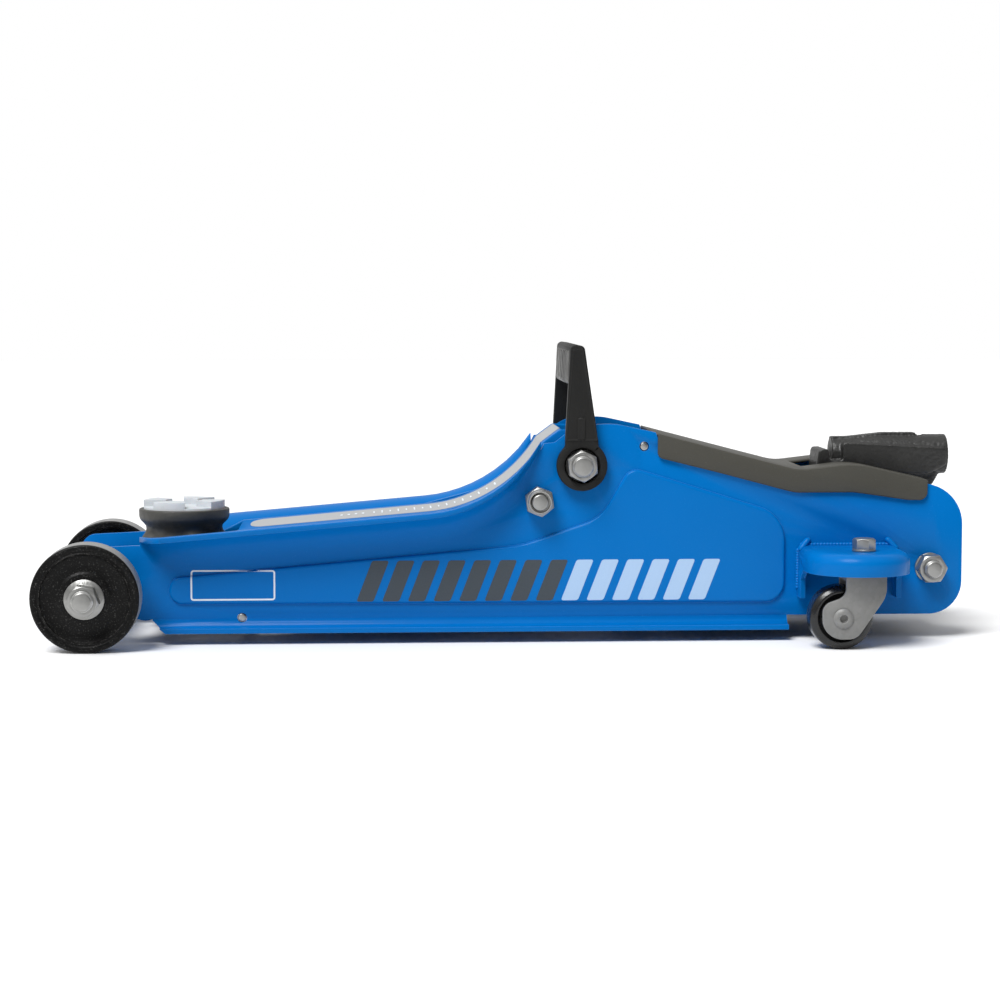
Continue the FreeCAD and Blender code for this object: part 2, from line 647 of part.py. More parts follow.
def castor():
    at = (CASTOR_X, f"-{CASTOR_Y}", "0")
    # the bolt: a hexagon head over a washer, a shank, and an end riveted over under the fork
    head = hexagon("castor_bolt_hex", "castor_bolt_flats", "castor_bolt_head")
    place(head, ("0", "0", "bracket_top + 1.5"), Rotation(Vector(0, 0, 1), 43))
    under = "(fork_top - fork_thick - side_gap)"
    shank = turned(
        "castor_bolt_shank",
        [
            ("0", f"{under} - 2.5"),
            ("castor_bolt + 1", f"{under} - 2.5"),
            ("castor_bolt + 2", f"{under} - 1.5"),
            ("castor_bolt + 2", under),
            ("castor_bolt", under),
            ("castor_bolt", "bracket_top + 1.5"),
            ("0", "bracket_top + 1.5"),
        ],
    )
    bolt = combine("Part::MultiFuse", "castor_bolt", Shapes=[head, shank])
    pair(place(bolt, at), "castor_bolts")
    washer = tube("castor_washer", "7", "castor_bolt + bolt_gap", "bracket_top", "bracket_top + 1.5", at)
    pair(washer, "castor_washers")
    bearing = turned(
        "castor_bearing",
        [
            ("castor_bolt + bolt_gap", "fork_top + side_gap"),
            ("11", "fork_top + side_gap"),
            ("13", "fork_top + 4"),
            ("13", "bracket_top - bracket_thick"),
            ("castor_bolt + bolt_gap", "bracket_top - bracket_thick"),
        ],
        at,
    )
    pair(bearing, "castor_bearings")

    # the fork: one outline across both cheeks, then the space for the wheel
    fork = body("castor_fork_left")
    axle = value(CASTOR_AXLE_X)
    bolt_x = value(CASTOR_X)
    level = value("castor_radius")
    top = value("fork_top")
    side = sketch(fork, "XZ_Plane", CASTOR_Y)
    side.addGeometry(
        rounded(
            [
                (bolt_x - 12.5, top, 0),
                (bolt_x + 11.5, top, 0),
                (bolt_x + 11.5, level + 13, 16),
                (axle + 8, level - 12.4, 9),
                (axle - 12.3, level - 12.4, 12),
                (axle - 12.3, level + 8, 7),
                (bolt_x - 12.5, level + 13, 7),
            ]
        ),
        False,
    )
    pad(fork, side, "castor_width + 2 * fork_thick + 2", middle=True)
    space = sketch(fork, "XZ_Plane", CASTOR_Y)
    polygon(
        space,
        [
            (f"{CASTOR_AXLE_X} - 40", "-10"),
            (f"{CASTOR_X} + 40", "-10"),
            (f"{CASTOR_X} + 40", "fork_top - fork_thick"),
            (f"{CASTOR_AXLE_X} - 40", "fork_top - fork_thick"),
        ],
    )
    pocket(fork, space, "castor_width + 2", middle=True)
    axle_hole = sketch(fork, "XZ_Plane")
    circle(axle_hole, CASTOR_AXLE_X, "castor_radius", "castor_bolt + bolt_gap")
    pocket(fork, axle_hole)
    bolt_hole = sketch(fork, "XY_Plane")
    circle(bolt_hole, CASTOR_X, f"-{CASTOR_Y}", "castor_bolt + run_gap")
    pocket(fork, bolt_hole)
    both(fork, "castor_fork")

    # the wheel: a rounded tread over a hub that is dished on both faces
    half = "castor_width / 2"
    wheel = turned(
        "castor_wheel",
        [
            ("castor_bolt + run_gap", f"-{half}"),
            ("castor_bolt + 4", f"-{half}"),
            ("castor_bolt + 5", f"-{half} + 2.5"),
            ("castor_radius - 5", f"-{half} + 2.5"),
            ("castor_radius - 4", f"-{half} + 0.5"),
            ("castor_radius - 1.5", f"-{half} + 1"),
            ("castor_radius", f"-{half} + 3"),
            ("castor_radius", f"{half} - 3"),
            ("castor_radius - 1.5", f"{half} - 1"),
            ("castor_radius - 4", f"{half} - 0.5"),
            ("castor_radius - 5", f"{half} - 2.5"),
            ("castor_bolt + 5", f"{half} - 2.5"),
            ("castor_bolt + 4", half),
            ("castor_bolt + run_gap", half),
        ],
        (CASTOR_AXLE_X, f"-{CASTOR_Y}", "castor_radius"),
        OUTWARD,
    )
    both(wheel, "castor_wheel")

    reach = "(castor_width / 2 + 1 + fork_thick)"
    rivet = turned(
        "castor_axle",
        [
            ("0", f"-{reach} - 1.8"),
            ("castor_bolt", f"-{reach} - 1.8"),
            ("castor_bolt + 2", f"-{reach} - 0.6"),
            ("castor_bolt + 2", f"-{reach}"),
            ("castor_bolt", f"-{reach}"),
            ("castor_bolt", reach),
            ("castor_bolt + 2", reach),
            ("castor_bolt + 2", f"{reach} + 0.6"),
            ("castor_bolt", f"{reach} + 1.8"),
            ("castor_bolt - 1.6", f"{reach} + 1.8"),
            ("castor_bolt - 1.6", f"{reach} - 1"),
            ("0", f"{reach} - 1"),
        ],
        (CASTOR_AXLE_X, f"-{CASTOR_Y}", "castor_radius"),
        OUTWARD,
    )
    both(rivet, "castor_axle")


# ---- front axle, wheels and the frame's bolts ----------------------------------------------------


def front_axle():
    at = (AXLE_X, "0", "wheel_radius")
    end = "(wheel_track / 2 + 14.5)"
    keep(shaft("front_axle", "axle_radius", f"-{end}", end, "1", at, OUTWARD), "front_axle")
    outer_nut = nut(
        "front_axle_nut",
        "axle_nut_flats",
        "axle_nut_height",
        "axle_radius + bolt_gap",
        (AXLE_X, "-(wheel_track / 2 + side_gap)", "wheel_radius"),
        50,
        "11.8",
        "2.2",
    )
    pair(outer_nut, "front_axle_nuts")
    inner = "(wheel_track / 2 - wheel_width - side_gap)"
    spacer = tube("wheel_spacer", "10", "axle_radius + bolt_gap", PLATE_OUT, inner, at, OUTWARD)
    pair(spacer, "front_wheel_spacers")
    keep(
        tube("front_cross_tube", "10", "axle_radius + bolt_gap", f"-{PLATE_IN}", PLATE_IN, at, OUTWARD),
        "front_cross_tube",
    )
    # the wheel is dished on its outer face, with a raised ring inside the rim
    outer = "(wheel_track / 2)"
    face_in = f"({outer} - wheel_width)"
    wheel = turned(
        "front_wheel",
        [
            ("axle_radius + run_gap", face_in),
            ("13", face_in),
            ("14", f"{face_in} + 3"),
            ("wheel_radius - 5", f"{face_in} + 3"),
            ("wheel_radius - 4", face_in),
            ("wheel_radius - 1.2", face_in),
            ("wheel_radius", f"{face_in} + 1.2"),
            ("wheel_radius", f"{outer} - 1.6"),
            ("wheel_radius - 1.6", outer),
            ("wheel_radius - 4.5", outer),
            ("wheel_radius - 5.2", f"{outer} - 1.4"),
            ("15.5", f"{outer} - 1.4"),
            ("14.5", outer),
            ("axle_radius + run_gap", outer),
        ],
        at,
        OUTWARD,
    )
    both(wheel, "front_wheel")


def frame_bolts():
    pivot = ("pivot_x", "0", "pivot_height")
    reach = f"({PLATE_OUT} + 15.5)"
    bolt = shaft("main_pivot_bolt", "pivot_radius", f"-{reach}", reach, "0.8", pivot, OUTWARD)
    keep(bolt, "main_pivot_bolt")
    bush = "(2 + side_gap)"
    seat = f"({PLATE_OUT} + {bush})"
    pivot_nut = nut(
        "main_pivot_nut",
        "pivot_nut_flats",
        "pivot_nut_height",
        "pivot_radius + bolt_gap",
        ("pivot_x", f"-{seat}", "pivot_height"),
        35,
        "9.75",
        "2",
    )
    pair(pivot_nut, "main_pivot_nuts")
    collar = tube("handle_bush", "bush_radius", "pivot_radius + bolt_gap", PLATE_OUT, seat, pivot, OUTWARD)
    pair(collar, "handle_bushes")

    # the anchors that the radius rods turn on: a flat head inside, a nut outside
    head = "(rod_offset - rod_thick / 2 - side_gap)"
    anchor = turned(
        "link_anchor",
        [
            ("0", f"{head} - 1.5"),
            ("link_radius + 2", f"{head} - 1.5"),
            ("link_radius + 2", head),
            ("link_radius", head),
            ("link_radius", f"{PLATE_OUT} + 12"),
            ("link_radius - 0.8", f"{PLATE_OUT} + 12.8"),
            ("0", f"{PLATE_OUT} + 12.8"),
        ],
        (ANCHOR_X, "0", ANCHOR_Z),
        OUTWARD,
    )
    pair(anchor, "link_anchor_bolts")
    anchor_nut = nut(
        "link_anchor_nut",
        "frame_nut_flats",
        "frame_nut_height",
        "link_radius + bolt_gap",
        (ANCHOR_X, f"-{PLATE_OUT}", ANCHOR_Z),
        38,
    )
    pair(anchor_nut, "link_anchor_nuts")

    reach = f"({PLATE_OUT} + 14.5)"
    tie = shaft("rear_tie_bolt", "tie_radius", f"-{reach}", reach, "0.8", (TIE_X, "0", "tie_height"), OUTWARD)
    keep(tie, "rear_tie_bolt")
    at = (TIE_X, "0", "tie_height")
    washer_end = f"{PLATE_OUT} + 2"
    washer = tube("rear_tie_washer", "9", "tie_radius + bolt_gap", PLATE_OUT, washer_end, at, OUTWARD)
    pair(washer, "rear_tie_washers")
    tie_nut = nut(
        "rear_tie_nut",
        "frame_nut_flats",
        "frame_nut_height",
        "tie_radius + bolt_gap",
        (TIE_X, f"-{PLATE_OUT} - 2", "tie_height"),
        3,
    )
    pair(tie_nut, "rear_tie_nuts")

    end = f"({PLATE_OUT} - 0.2)"
    stay_at = (STAY_X, "0", "stay_height")
    stay = shaft("front_stay_pin", "stay_radius", f"-{end}", end, "0.4", stay_at, OUTWARD)
    keep(stay, "front_stay_pin")
    anchor_at = (ROD_ANCHOR_X, "0", ROD_ANCHOR_Z)
    anchor_rod = shaft("spring_anchor_rod", "stay_radius", f"-{end}", end, "0.4", anchor_at, OUTWARD)
    keep(anchor_rod, "spring_anchor_rod")


# ---- lift arm, saddle and radius rods ------------------------------------------------------------


def arm_top(drop, count=6):
    """Points along the arm's top face, a drop below the lip, from its front edge to the end of the sweep."""
    front = value(f"{FRONT_X} + arm_setback")
    start = value("pivot_x - sweep_lead")
    slope = math.radians(value("lip_slope"))
    end = math.radians(value("sweep_end"))
    sweep = value("sweep_radius")
    radius = sweep + drop
    centre = (start - sweep * math.sin(slope), lip_top(start) + sweep * math.cos(slope))
    points = [Vector(front, lip_top(front) - drop / math.cos(slope), 0)]
    for i in range(count + 1):
        angle = slope + (end - slope) * i / count
        points.append(Vector(centre[0] + radius * math.sin(angle), centre[1] - radius * math.cos(angle), 0))
    return points


def swept_edge(points):
    """A straight run to the second point, then one arc through the middle point to the last."""
    middle = points[1 + (len(points) - 1) // 2]
    return [Part.LineSegment(points[0], points[1]), Part.Arc(points[1], middle, points[-1])]


def chain(start, corners, end):
    """Straight lines from one point through corners to another."""
    points = [start] + [Vector(across, up, 0) for across, up in corners] + [end]
    return [Part.LineSegment(a, b) for a, b in zip(points, points[1:])]


def lift_arm():
    arm = body("lift_arm")
    pivot_x = value("pivot_x")
    pivot_z = value("pivot_height")
    pin_x = value(SADDLE_PIN_X)
    pin_z = value("saddle_pin_height")
    ram_x = value(RAM_PIN_X)
    ram_z = value(RAM_PIN_Z)
    top = arm_top(value("arm_sink"))
    outline = sketch(arm, "XZ_Plane")
    around = [
        (pivot_x - 12, pivot_z + 21),
        (pivot_x + 12, pivot_z + 20),
        (pivot_x + 21, pivot_z + 8),
        (pivot_x + 25, pivot_z - 10),
        (ram_x + 12, ram_z + 5),
        (ram_x + 11, ram_z - 8),
        (ram_x + 3, ram_z - 13),
        (ram_x - 8, ram_z - 12),
        (pivot_x - 22, pivot_z - 36),
        (pivot_x - 60, pivot_z - 52),
        (pin_x + 4, pin_z - 13),
        (pin_x - 8, pin_z - 11),
        (pin_x - 13, pin_z - 2),
        (pin_x - 11, pin_z + 8),
        (pin_x - 2, pin_z + 13.5),
        (pin_x + 14, pin_z + 15),
    ]
    outline.addGeometry(swept_edge(top) + chain(top[-1], around, top[0]), False)
    pad(arm, outline, "arm_width", middle=True)

    under = arm_top(value("arm_sink + arm_skin"))
    inside = sketch(arm, "XZ_Plane")
    high = value("handle_height")
    low = -20
    crest = Vector(*around[0], 0)
    run = (crest - top[-1]).normalize()
    crest_under = crest + Vector(run.y, -run.x, 0) * value("arm_skin")
    inside.addGeometry(
        swept_edge(under)
        + chain(
            under[-1],
            [
                (crest_under.x, crest_under.y),
                (crest_under.x, high),
                (ram_x + 60, high),
                (ram_x + 60, low),
                (pin_x - 60, low),
                (pin_x - 60, high),
                (under[0].x, high),
            ],
            under[0],
        ),
        False,
    )
    pocket(arm, inside, "arm_width - 2 * arm_web", middle=True)
    holes = sketch(arm, "XZ_Plane")
    circle(holes, "pivot_x", "pivot_height", "pivot_radius + 5")
    circle(holes, SADDLE_PIN_X, "saddle_pin_height", "saddle_pin_radius + run_gap")
    circle(holes, RAM_PIN_X, RAM_PIN_Z, "ram_pin_radius")
    pocket(arm, holes)
    keep(arm, "lift_arm")

    end = f"({PLATE_IN} - side_gap)"
    at = ("pivot_x", "0", "pivot_height")
    bore = "pivot_radius + run_gap"
    sleeve = tube("arm_pivot_sleeve", "pivot_radius + 5", bore, f"-{end}", end, at, OUTWARD)
    keep(sleeve, "arm_pivot_sleeve")
    end = "(arm_width / 2 + 1)"
    at = (RAM_PIN_X, "0", RAM_PIN_Z)
    keep(shaft("ram_pin", "ram_pin_radius", f"-{end}", end, "0.8", at, OUTWARD), "ram_pin")


def saddle_yoke():
    pin_x = value(SADDLE_PIN_X)
    pin_z = value("saddle_pin_height")
    link_x = value(LINK_X)
    link_z = value(LINK_Z)
    top = value("saddle_base") - 0.3
    middle = value(SADDLE_X)
    yoke = body("saddle_yoke")
    side = sketch(yoke, "XZ_Plane")
    side.addGeometry(
        rounded(
            [
                (link_x - 9, link_z - 9, 8.5),
                (link_x + 9, link_z - 9, 8.5),
                (pin_x + 11, pin_z - 11, 10.5),
                (pin_x + 11, top - 6, 3),
                (middle + 22, top - 6, 0),
                (middle + 22, top, 0),
                (middle - 22, top, 0),
                (middle - 22, top - 7, 2),
                (link_x - 9, link_z + 9, 8),
            ]
        ),
        False,
    )
    pad(yoke, side, "arm_width - 2 * arm_web - 1", middle=True)
    gap = sketch(yoke, "XZ_Plane")
    polygon(
        gap,
        [
            (f"{LINK_X} - 30", "0"),
            (f"{SADDLE_PIN_X} + 40", "0"),
            (f"{SADDLE_PIN_X} + 40", "saddle_base - 9"),
            (f"{LINK_X} - 30", "saddle_base - 9"),
        ],
    )
    pocket(yoke, gap, "arm_width - 2 * arm_web - 17", middle=True)
    holes = sketch(yoke, "XZ_Plane")
    circle(holes, SADDLE_PIN_X, "saddle_pin_height", "saddle_pin_radius")
    circle(holes, LINK_X, LINK_Z, "link_radius")
    pocket(yoke, holes)
    plan = sketch(yoke, "XY_Plane", "saddle_base - 24")
    circle(plan, SADDLE_X, "0", "stem_radius + 5")
    pad(yoke, plan, "24 - side_gap - 2")
    bore = sketch(yoke, "XY_Plane")
    circle(bore, SADDLE_X, "0", "stem_radius + run_gap")
    pocket(yoke, bore)
    keep(yoke, "saddle_yoke")
    # the pivot pin is in two halves, one in each cheek, so that the stem passes between them
    start = "(arm_width / 2 - arm_web - 9)"
    end = "(arm_width / 2 + 1)"
    at = (SADDLE_PIN_X, "0", "saddle_pin_height")
    pair(shaft("saddle_pivot_pin", "saddle_pin_radius", start, end, "0.8", at, OUTWARD), "saddle_pivot_pins")
    end = "(rod_offset + rod_thick / 2 + 0.7)"
    at = (LINK_X, "0", LINK_Z)
    keep(shaft("link_pin", "link_radius", f"-{end}", end, "0.8", at, OUTWARD), "link_pin")


def saddle():
    at = (SADDLE_X, "0", "0")
    rim = "saddle_radius"
    cup = turned(
        "saddle_cup_turned",
        [
            ("0", "saddle_base - 26"),
            ("stem_radius", "saddle_base - 26"),
            ("stem_radius", "saddle_base"),
            (f"{rim} - 3.5", "saddle_base"),
            (f"{rim} - 2.7", "saddle_base + 2"),
            (f"{rim} - 4.2", "saddle_base + 6"),
            (f"{rim} - 3.5", "saddle_base + 9.5"),
            (f"{rim} - 0.5", "saddle_rim - 7"),
            (rim, "saddle_rim - 5.5"),
            (rim, "saddle_rim - 0.7"),
            (f"{rim} - 0.7", "saddle_rim"),
            (f"{rim} - 2.7", "saddle_rim"),
            (f"{rim} - 2.7", "saddle_rim - 4"),
            ("0", "saddle_rim - 4"),
        ],
        at,
    )
    keep(cup, "saddle_cup")
    # a groove in the stem holds the ring that keeps the saddle in the yoke
    groove = cup.newObject("PartDesign::Groove", "saddle_stem_groove")
    drawing = sketch(cup, "XZ_Plane")
    polygon(
        drawing,
        [
            ("stem_radius - 1.5", "saddle_base - 25.6"),
            ("stem_radius + 2", "saddle_base - 25.6"),
            ("stem_radius + 2", "saddle_base - 24.2"),
            ("stem_radius - 1.5", "saddle_base - 24.2"),
        ],
    )
    groove.Profile = drawing
    groove.ReferenceAxis = (drawing, ["V_Axis"])
    groove.Angle = 360
    low = "saddle_base - 25.5"
    clip = tube("saddle_clip", "stem_radius + 2.5", "stem_radius - 1.4", low, f"{low} + 1.2", at)
    keep(clip, "saddle_clip")

    # the pad: a disc in the cup with a cross-shaped recess between four raised lugs
    pad_body = body("saddle_pad")
    disc = sketch(pad_body, "XY_Plane", "saddle_rim - 4")
    circle(disc, "0", "0", "saddle_radius - 2.9")
    pad(pad_body, disc, "5.2")
    lug = sketch(pad_body, "XY_Plane", "saddle_rim")
    outer = value("saddle_radius - 2.9")
    inner = 11
    half = math.radians(25)
    away = Vector(math.cos(half), math.sin(half), 0)
    back = Vector(math.cos(half), -math.sin(half), 0)
    lug.addGeometry(
        [
            Part.Arc(back * outer, Vector(outer, 0, 0), away * outer),
            Part.LineSegment(away * outer, away * inner),
            Part.Arc(away * inner, Vector(inner, 0, 0), back * inner),
            Part.LineSegment(back * inner, back * outer),
        ],
        False,
    )
    lugs = pad(pad_body, lug, "pad_top - saddle_rim")
    doc.recompute()
    ring = pad_body.newObject("PartDesign::PolarPattern", "saddle_pad_lugs")
    ring.Originals = [lugs]
    ring.Axis = (lug, ["N_Axis"])
    ring.Angle = 360
    ring.Occurrences = 4
    pad_body.Tip = ring
    keep(place(pad_body, at, Rotation(Vector(0, 0, 1), -20)), "saddle_pad")


def radius_rods():
    rod = body("radius_rod_left")
    start = Vector(value(LINK_X), value(LINK_Z), 0)
    end = Vector(value(ANCHOR_X), value(ANCHOR_Z), 0)
    along = (end - start).normalize()
    across = Vector(-along.y, along.x, 0) * value("rod_height / 2")
    beyond = along * value("rod_height / 2")
    corners = [start - beyond - across, end + beyond - across, end + beyond + across, start - beyond + across]
    side = sketch(rod, "XZ_Plane", "rod_offset")
    side.addGeometry(rounded([(c.x, c.y, value("rod_height") * 0.49) for c in corners]), False)
    pad(rod, side, "rod_thick", middle=True)
    holes = sketch(rod, "XZ_Plane")
    circle(holes, LINK_X, LINK_Z, "link_radius + side_gap")
    circle(holes, ANCHOR_X, ANCHOR_Z, "link_radius + run_gap")
    pocket(rod, holes)
    both(rod, "radius_rod")


# ---- hydraulics ----------------------------------------------------------------------------------


def hydraulics():
    axis = ("0", "0", "ram_height")
    # the ram: a slotted head that holds the ram pin, a rod and a piston
    ram = body("ram")
    side = sketch(ram, "XZ_Plane")
    slot_x = value(RAM_PIN_X)
    middle = value("ram_height")
    half = value("ram_pin_radius") + 1.3
    side.addGeometry(
        rounded(
            [
                (slot_x - half - 4.5, middle - 16, 3),
                (slot_x + half + 6, middle - 16, 3),
                (slot_x + half + 6, middle + 16, 3),
                (slot_x - half - 4.5, middle + 16, 3),
            ]
        ),
        False,
    )
    pad(ram, side, "26", middle=True)
    slot = sketch(ram, "XZ_Plane")
    slot.addGeometry(
        rounded(
            [
                (slot_x - half, middle - 11.5, half - 0.05),
                (slot_x + half, middle - 11.5, half - 0.05),
                (slot_x + half, middle + 12.5, half - 0.05),
                (slot_x - half, middle + 12.5, half - 0.05),
            ]
        ),
        False,
    )
    pocket(ram, slot)
    rod = sketch(ram, "YZ_Plane", f"{RAM_PIN_X} + ram_pin_radius + 5")
    circle(rod, "0", "ram_height", "ram_radius")
    pad(ram, rod, f"{BLOCK_FRONT_X} - {RAM_PIN_X} - ram_pin_radius - 10")
    piston = sketch(ram, "YZ_Plane", f"{BLOCK_FRONT_X} - 15")
    circle(piston, "0", "ram_height", "bore_radius - run_gap")
    pad(ram, piston, "12")
    keep(ram, "ram")

    gland_end = f"({GLAND_X} + 8)"
    cylinder = tube(
        "cylinder_tube",
        "bore_radius + cylinder_wall",
        "bore_radius",
        gland_end,
        BLOCK_FRONT_X,
        axis,
        REARWARD,
    )
    keep(cylinder, "cylinder_tube")
    shell = "reservoir_radius"
    reservoir = tube("reservoir_blank", shell, f"{shell} - 2", gland_end, BLOCK_FRONT_X, axis, REARWARD)
    gland = turned(
        "gland_nut",
        [
            ("ram_radius + run_gap", GLAND_X),
            ("bore_radius + 2", GLAND_X),
            ("bore_radius + 4", f"{GLAND_X} + 2"),
            ("reservoir_radius - 1.5", f"{GLAND_X} + 2"),
            ("reservoir_radius", f"{GLAND_X} + 3.5"),
            ("reservoir_radius", gland_end),
            ("ram_radius + run_gap", gland_end),
        ],
        axis,
        REARWARD,
    )
    keep(gland, "gland_nut")
    plug_base = "(ram_height + reservoir_radius)"
    plug = turned(
        "filler_plug",
        [
            ("0", f"{plug_base} - 6"),
            ("4", f"{plug_base} - 6"),
            ("4", plug_base),
            ("6.5", plug_base),
            ("6.5", f"{plug_base} + 2"),
            ("5.5", f"{plug_base} + 3"),
            ("0", f"{plug_base} + 3"),
        ],
        (f"{BLOCK_FRONT_X} - 32", "0", "0"),
    )
    keep(combine("Part::Cut", "reservoir_tube", Base=reservoir, Tool=plug), "reservoir_tube")
    keep(plug, "filler_plug")

    block = body("hydraulic_block")
    side = sketch(block, "XZ_Plane")
    front = value(BLOCK_FRONT_X)
    rear = value(BLOCK_REAR_X)
    low = value("block_base")
    high = value("block_top")
    side.addGeometry(
        rounded(
            [
                (front, low, 0),
                (rear, low, 5),
                (rear, high - 12, 6),
                (rear - 12, high, 4),
                (front + 14, high, 6),
                (front + 10, value("ram_height + reservoir_radius"), 3),
                (front, value("ram_height + reservoir_radius"), 0),
            ]
        ),
        False,
    )
    pad(block, side, "block_width", middle=True)
    # two ears that hold the socket's pivot pin
    ears = sketch(block, "XZ_Plane")
    pin_x = value(SOCKET_X)
    pin_z = value("socket_pin_height")
    ears.addGeometry(
        rounded(
            [
                (pin_x - 9, high - 4, 0),
                (pin_x + 9, high - 4, 0),
                (pin_x + 8, pin_z + 8, 7.9),
                (pin_x - 8, pin_z + 8, 7.9),
            ]
        ),
        False,
    )
    pad(block, ears, "slot_width - 2", middle=True)
    between = sketch(block, "XZ_Plane")
    polygon(
        between,
        [
            (f"{SOCKET_X} - 14", "block_top"),
            (f"{SOCKET_X} + 14", "block_top"),
            (f"{SOCKET_X} + 14", "socket_pin_height + 20"),
            (f"{SOCKET_X} - 14", "socket_pin_height + 20"),
        ],
    )
    pocket(block, between, "2 * socket_radius + 6.6", middle=True)
    bores = sketch(block, "XZ_Plane")
    circle(bores, TIE_X, "tie_height", "tie_radius + bolt_gap")
    circle(bores, SOCKET_X, "socket_pin_height", "socket_pin_radius")
    pocket(block, bores)
    pump = sketch(block, "XY_Plane", "block_top")
    circle(pump, ROLLER_X, "0", "plunger_radius + run_gap")
    pocket(block, pump, "block_top - block_base - 4")
    valve = sketch(block, "XY_Plane", "block_top")
    circle(valve, VALVE_X, "0", "valve_radius + run_gap")
    pocket(block, valve, "10")
    keep(block, "hydraulic_block")

    at = (ROLLER_X, "0", "0")
    barrel_top = "(block_top + 3)"
    bore = "plunger_radius + run_gap"
    barrel = tube("pump_barrel", "plunger_radius + 4", bore, "block_top", barrel_top, at)
    keep(barrel, "pump_barrel")
    cap_top = f"({ROLLER_Z} - roller_radius - side_gap)"
    plunger = turned(
        "pump_plunger",
        [
            ("0", "block_base + 7"),
            ("plunger_radius", "block_base + 7"),
            ("plunger_radius", f"{cap_top} - 3"),
            ("roller_half", f"{cap_top} - 3"),
            ("roller_half", f"{cap_top} - 0.8"),
            ("roller_half - 0.8", cap_top),
            ("0", cap_top),
        ],
        at,
    )
    keep(plunger, "pump_plunger")
    spring = tube(
        "pump_spring",
        "roller_half",
        "plunger_radius + 0.6",
        f"{barrel_top} + 0.1",
        f"{cap_top} - 3.1",
        at,
    )
    keep(spring, "pump_spring")

    at = (VALVE_X, "0", "0")
    spindle = hexagon("release_valve_head", "10", "7")
    stem = shaft("release_valve_stem", "valve_radius", "block_top - 9", "block_top + 8", "0.6")
    place(spindle, ("0", "0", "block_top + 8"))
    knob = combine("Part::MultiFuse", "release_valve", Shapes=[spindle, stem])
    keep(place(knob, at), "release_valve")


def return_springs():
    """Tension springs between the anchor rod and the ram pin, as closed tubes with a ring at each end."""
    top = Vector(value(ROD_ANCHOR_X), 0, value(ROD_ANCHOR_Z))
    low = Vector(value(RAM_PIN_X), 0, value(RAM_PIN_Z))
    along = (top - low).normalize()
    beside_ram = value("bore_radius + spring_radius")
    offset = Vector(0, -max(value("arm_width / 2 - arm_web - 8"), beside_ram), 0)
    wire = value("spring_wire")
    coil = value("spring_radius")
    pieces = []
    for centre, pin, sign in ((low, "ram_pin_radius", 1), (top, "stay_radius", -1)):
        ring = value(pin) + wire + 0.3
        pieces.append(Part.makeTorus(ring, wire, centre + offset, Vector(0, 1, 0)))
        pieces.append(centre + offset + along * sign * (ring + wire * 0.3))
    start, end = pieces[1], pieces[3]
    height = (end - start).Length
    tube_shape = Part.makeCylinder(coil, height, start, along)
    tube_shape = tube_shape.cut(Part.makeCylinder(coil - wire, height - 3, start + along * 1.5, along))
    shape = pieces[0].fuse([pieces[2], tube_shape])
    spring = doc.addObject("Part::Feature", "return_spring_left")
    spring.Shape = shape
    both(spring, "return_spring")


# ---- carry handle, rear cover and handle socket --------------------------------------------------


def carry_handle():
    """A moulded bail: a boss and a tapering leg on each side, joined by a crossbar."""
    handle = body("carry_handle")
    x = value("pivot_x")
    z = value("pivot_height")
    top = value("handle_height")
    inner = f"({PLATE_OUT} + side_gap)"
    front = sketch(handle, "XZ_Plane")
    front.addGeometry(
        rounded(
            [
                (x - 10.5, z, 0),
                (x + 10.5, z, 0),
                (x + 9.6, z + 15, 3),
                (x + 7.0, z + 33, 30),
                (x + 1.2, top - 1, 3),
                (x - 7, top, 3),
                (x - 10, z + 17, 3),
            ]
        ),
        False,
    )
    wide = f"2 * ({PLATE_OUT} + boss_thick)"
    pad(handle, front, wide, middle=True)
    boss = sketch(handle, "XZ_Plane")
    circle(boss, "pivot_x", "pivot_height", "boss_radius")
    pad(handle, boss, wide, middle=True)
    # the space between the legs, up to the underside of the crossbar
    space = sketch(handle, "XZ_Plane")
    polygon(
        space,
        [
            ("pivot_x - 40", "pivot_height - 30"),
            ("pivot_x + 40", "pivot_height - 30"),
            ("pivot_x + 40", "handle_height - grip_depth"),
            ("pivot_x - 40", "handle_height - grip_depth"),
        ],
    )
    pocket(handle, space, f"2 * {inner}", middle=True)
    recess = sketch(handle, "XZ_Plane")
    circle(recess, "pivot_x", "pivot_height", "bush_radius + run_gap")
    pocket(handle, recess)
    for side in (1, -1):
        nut_space = sketch(handle, "XZ_Plane", f"{side} * ({PLATE_OUT} + 2)")
        circle(nut_space, "pivot_x", "pivot_height", "boss_recess")
        pocket(handle, nut_space, "boss_thick", reverse=side > 0)
    keep(handle, "carry_handle")


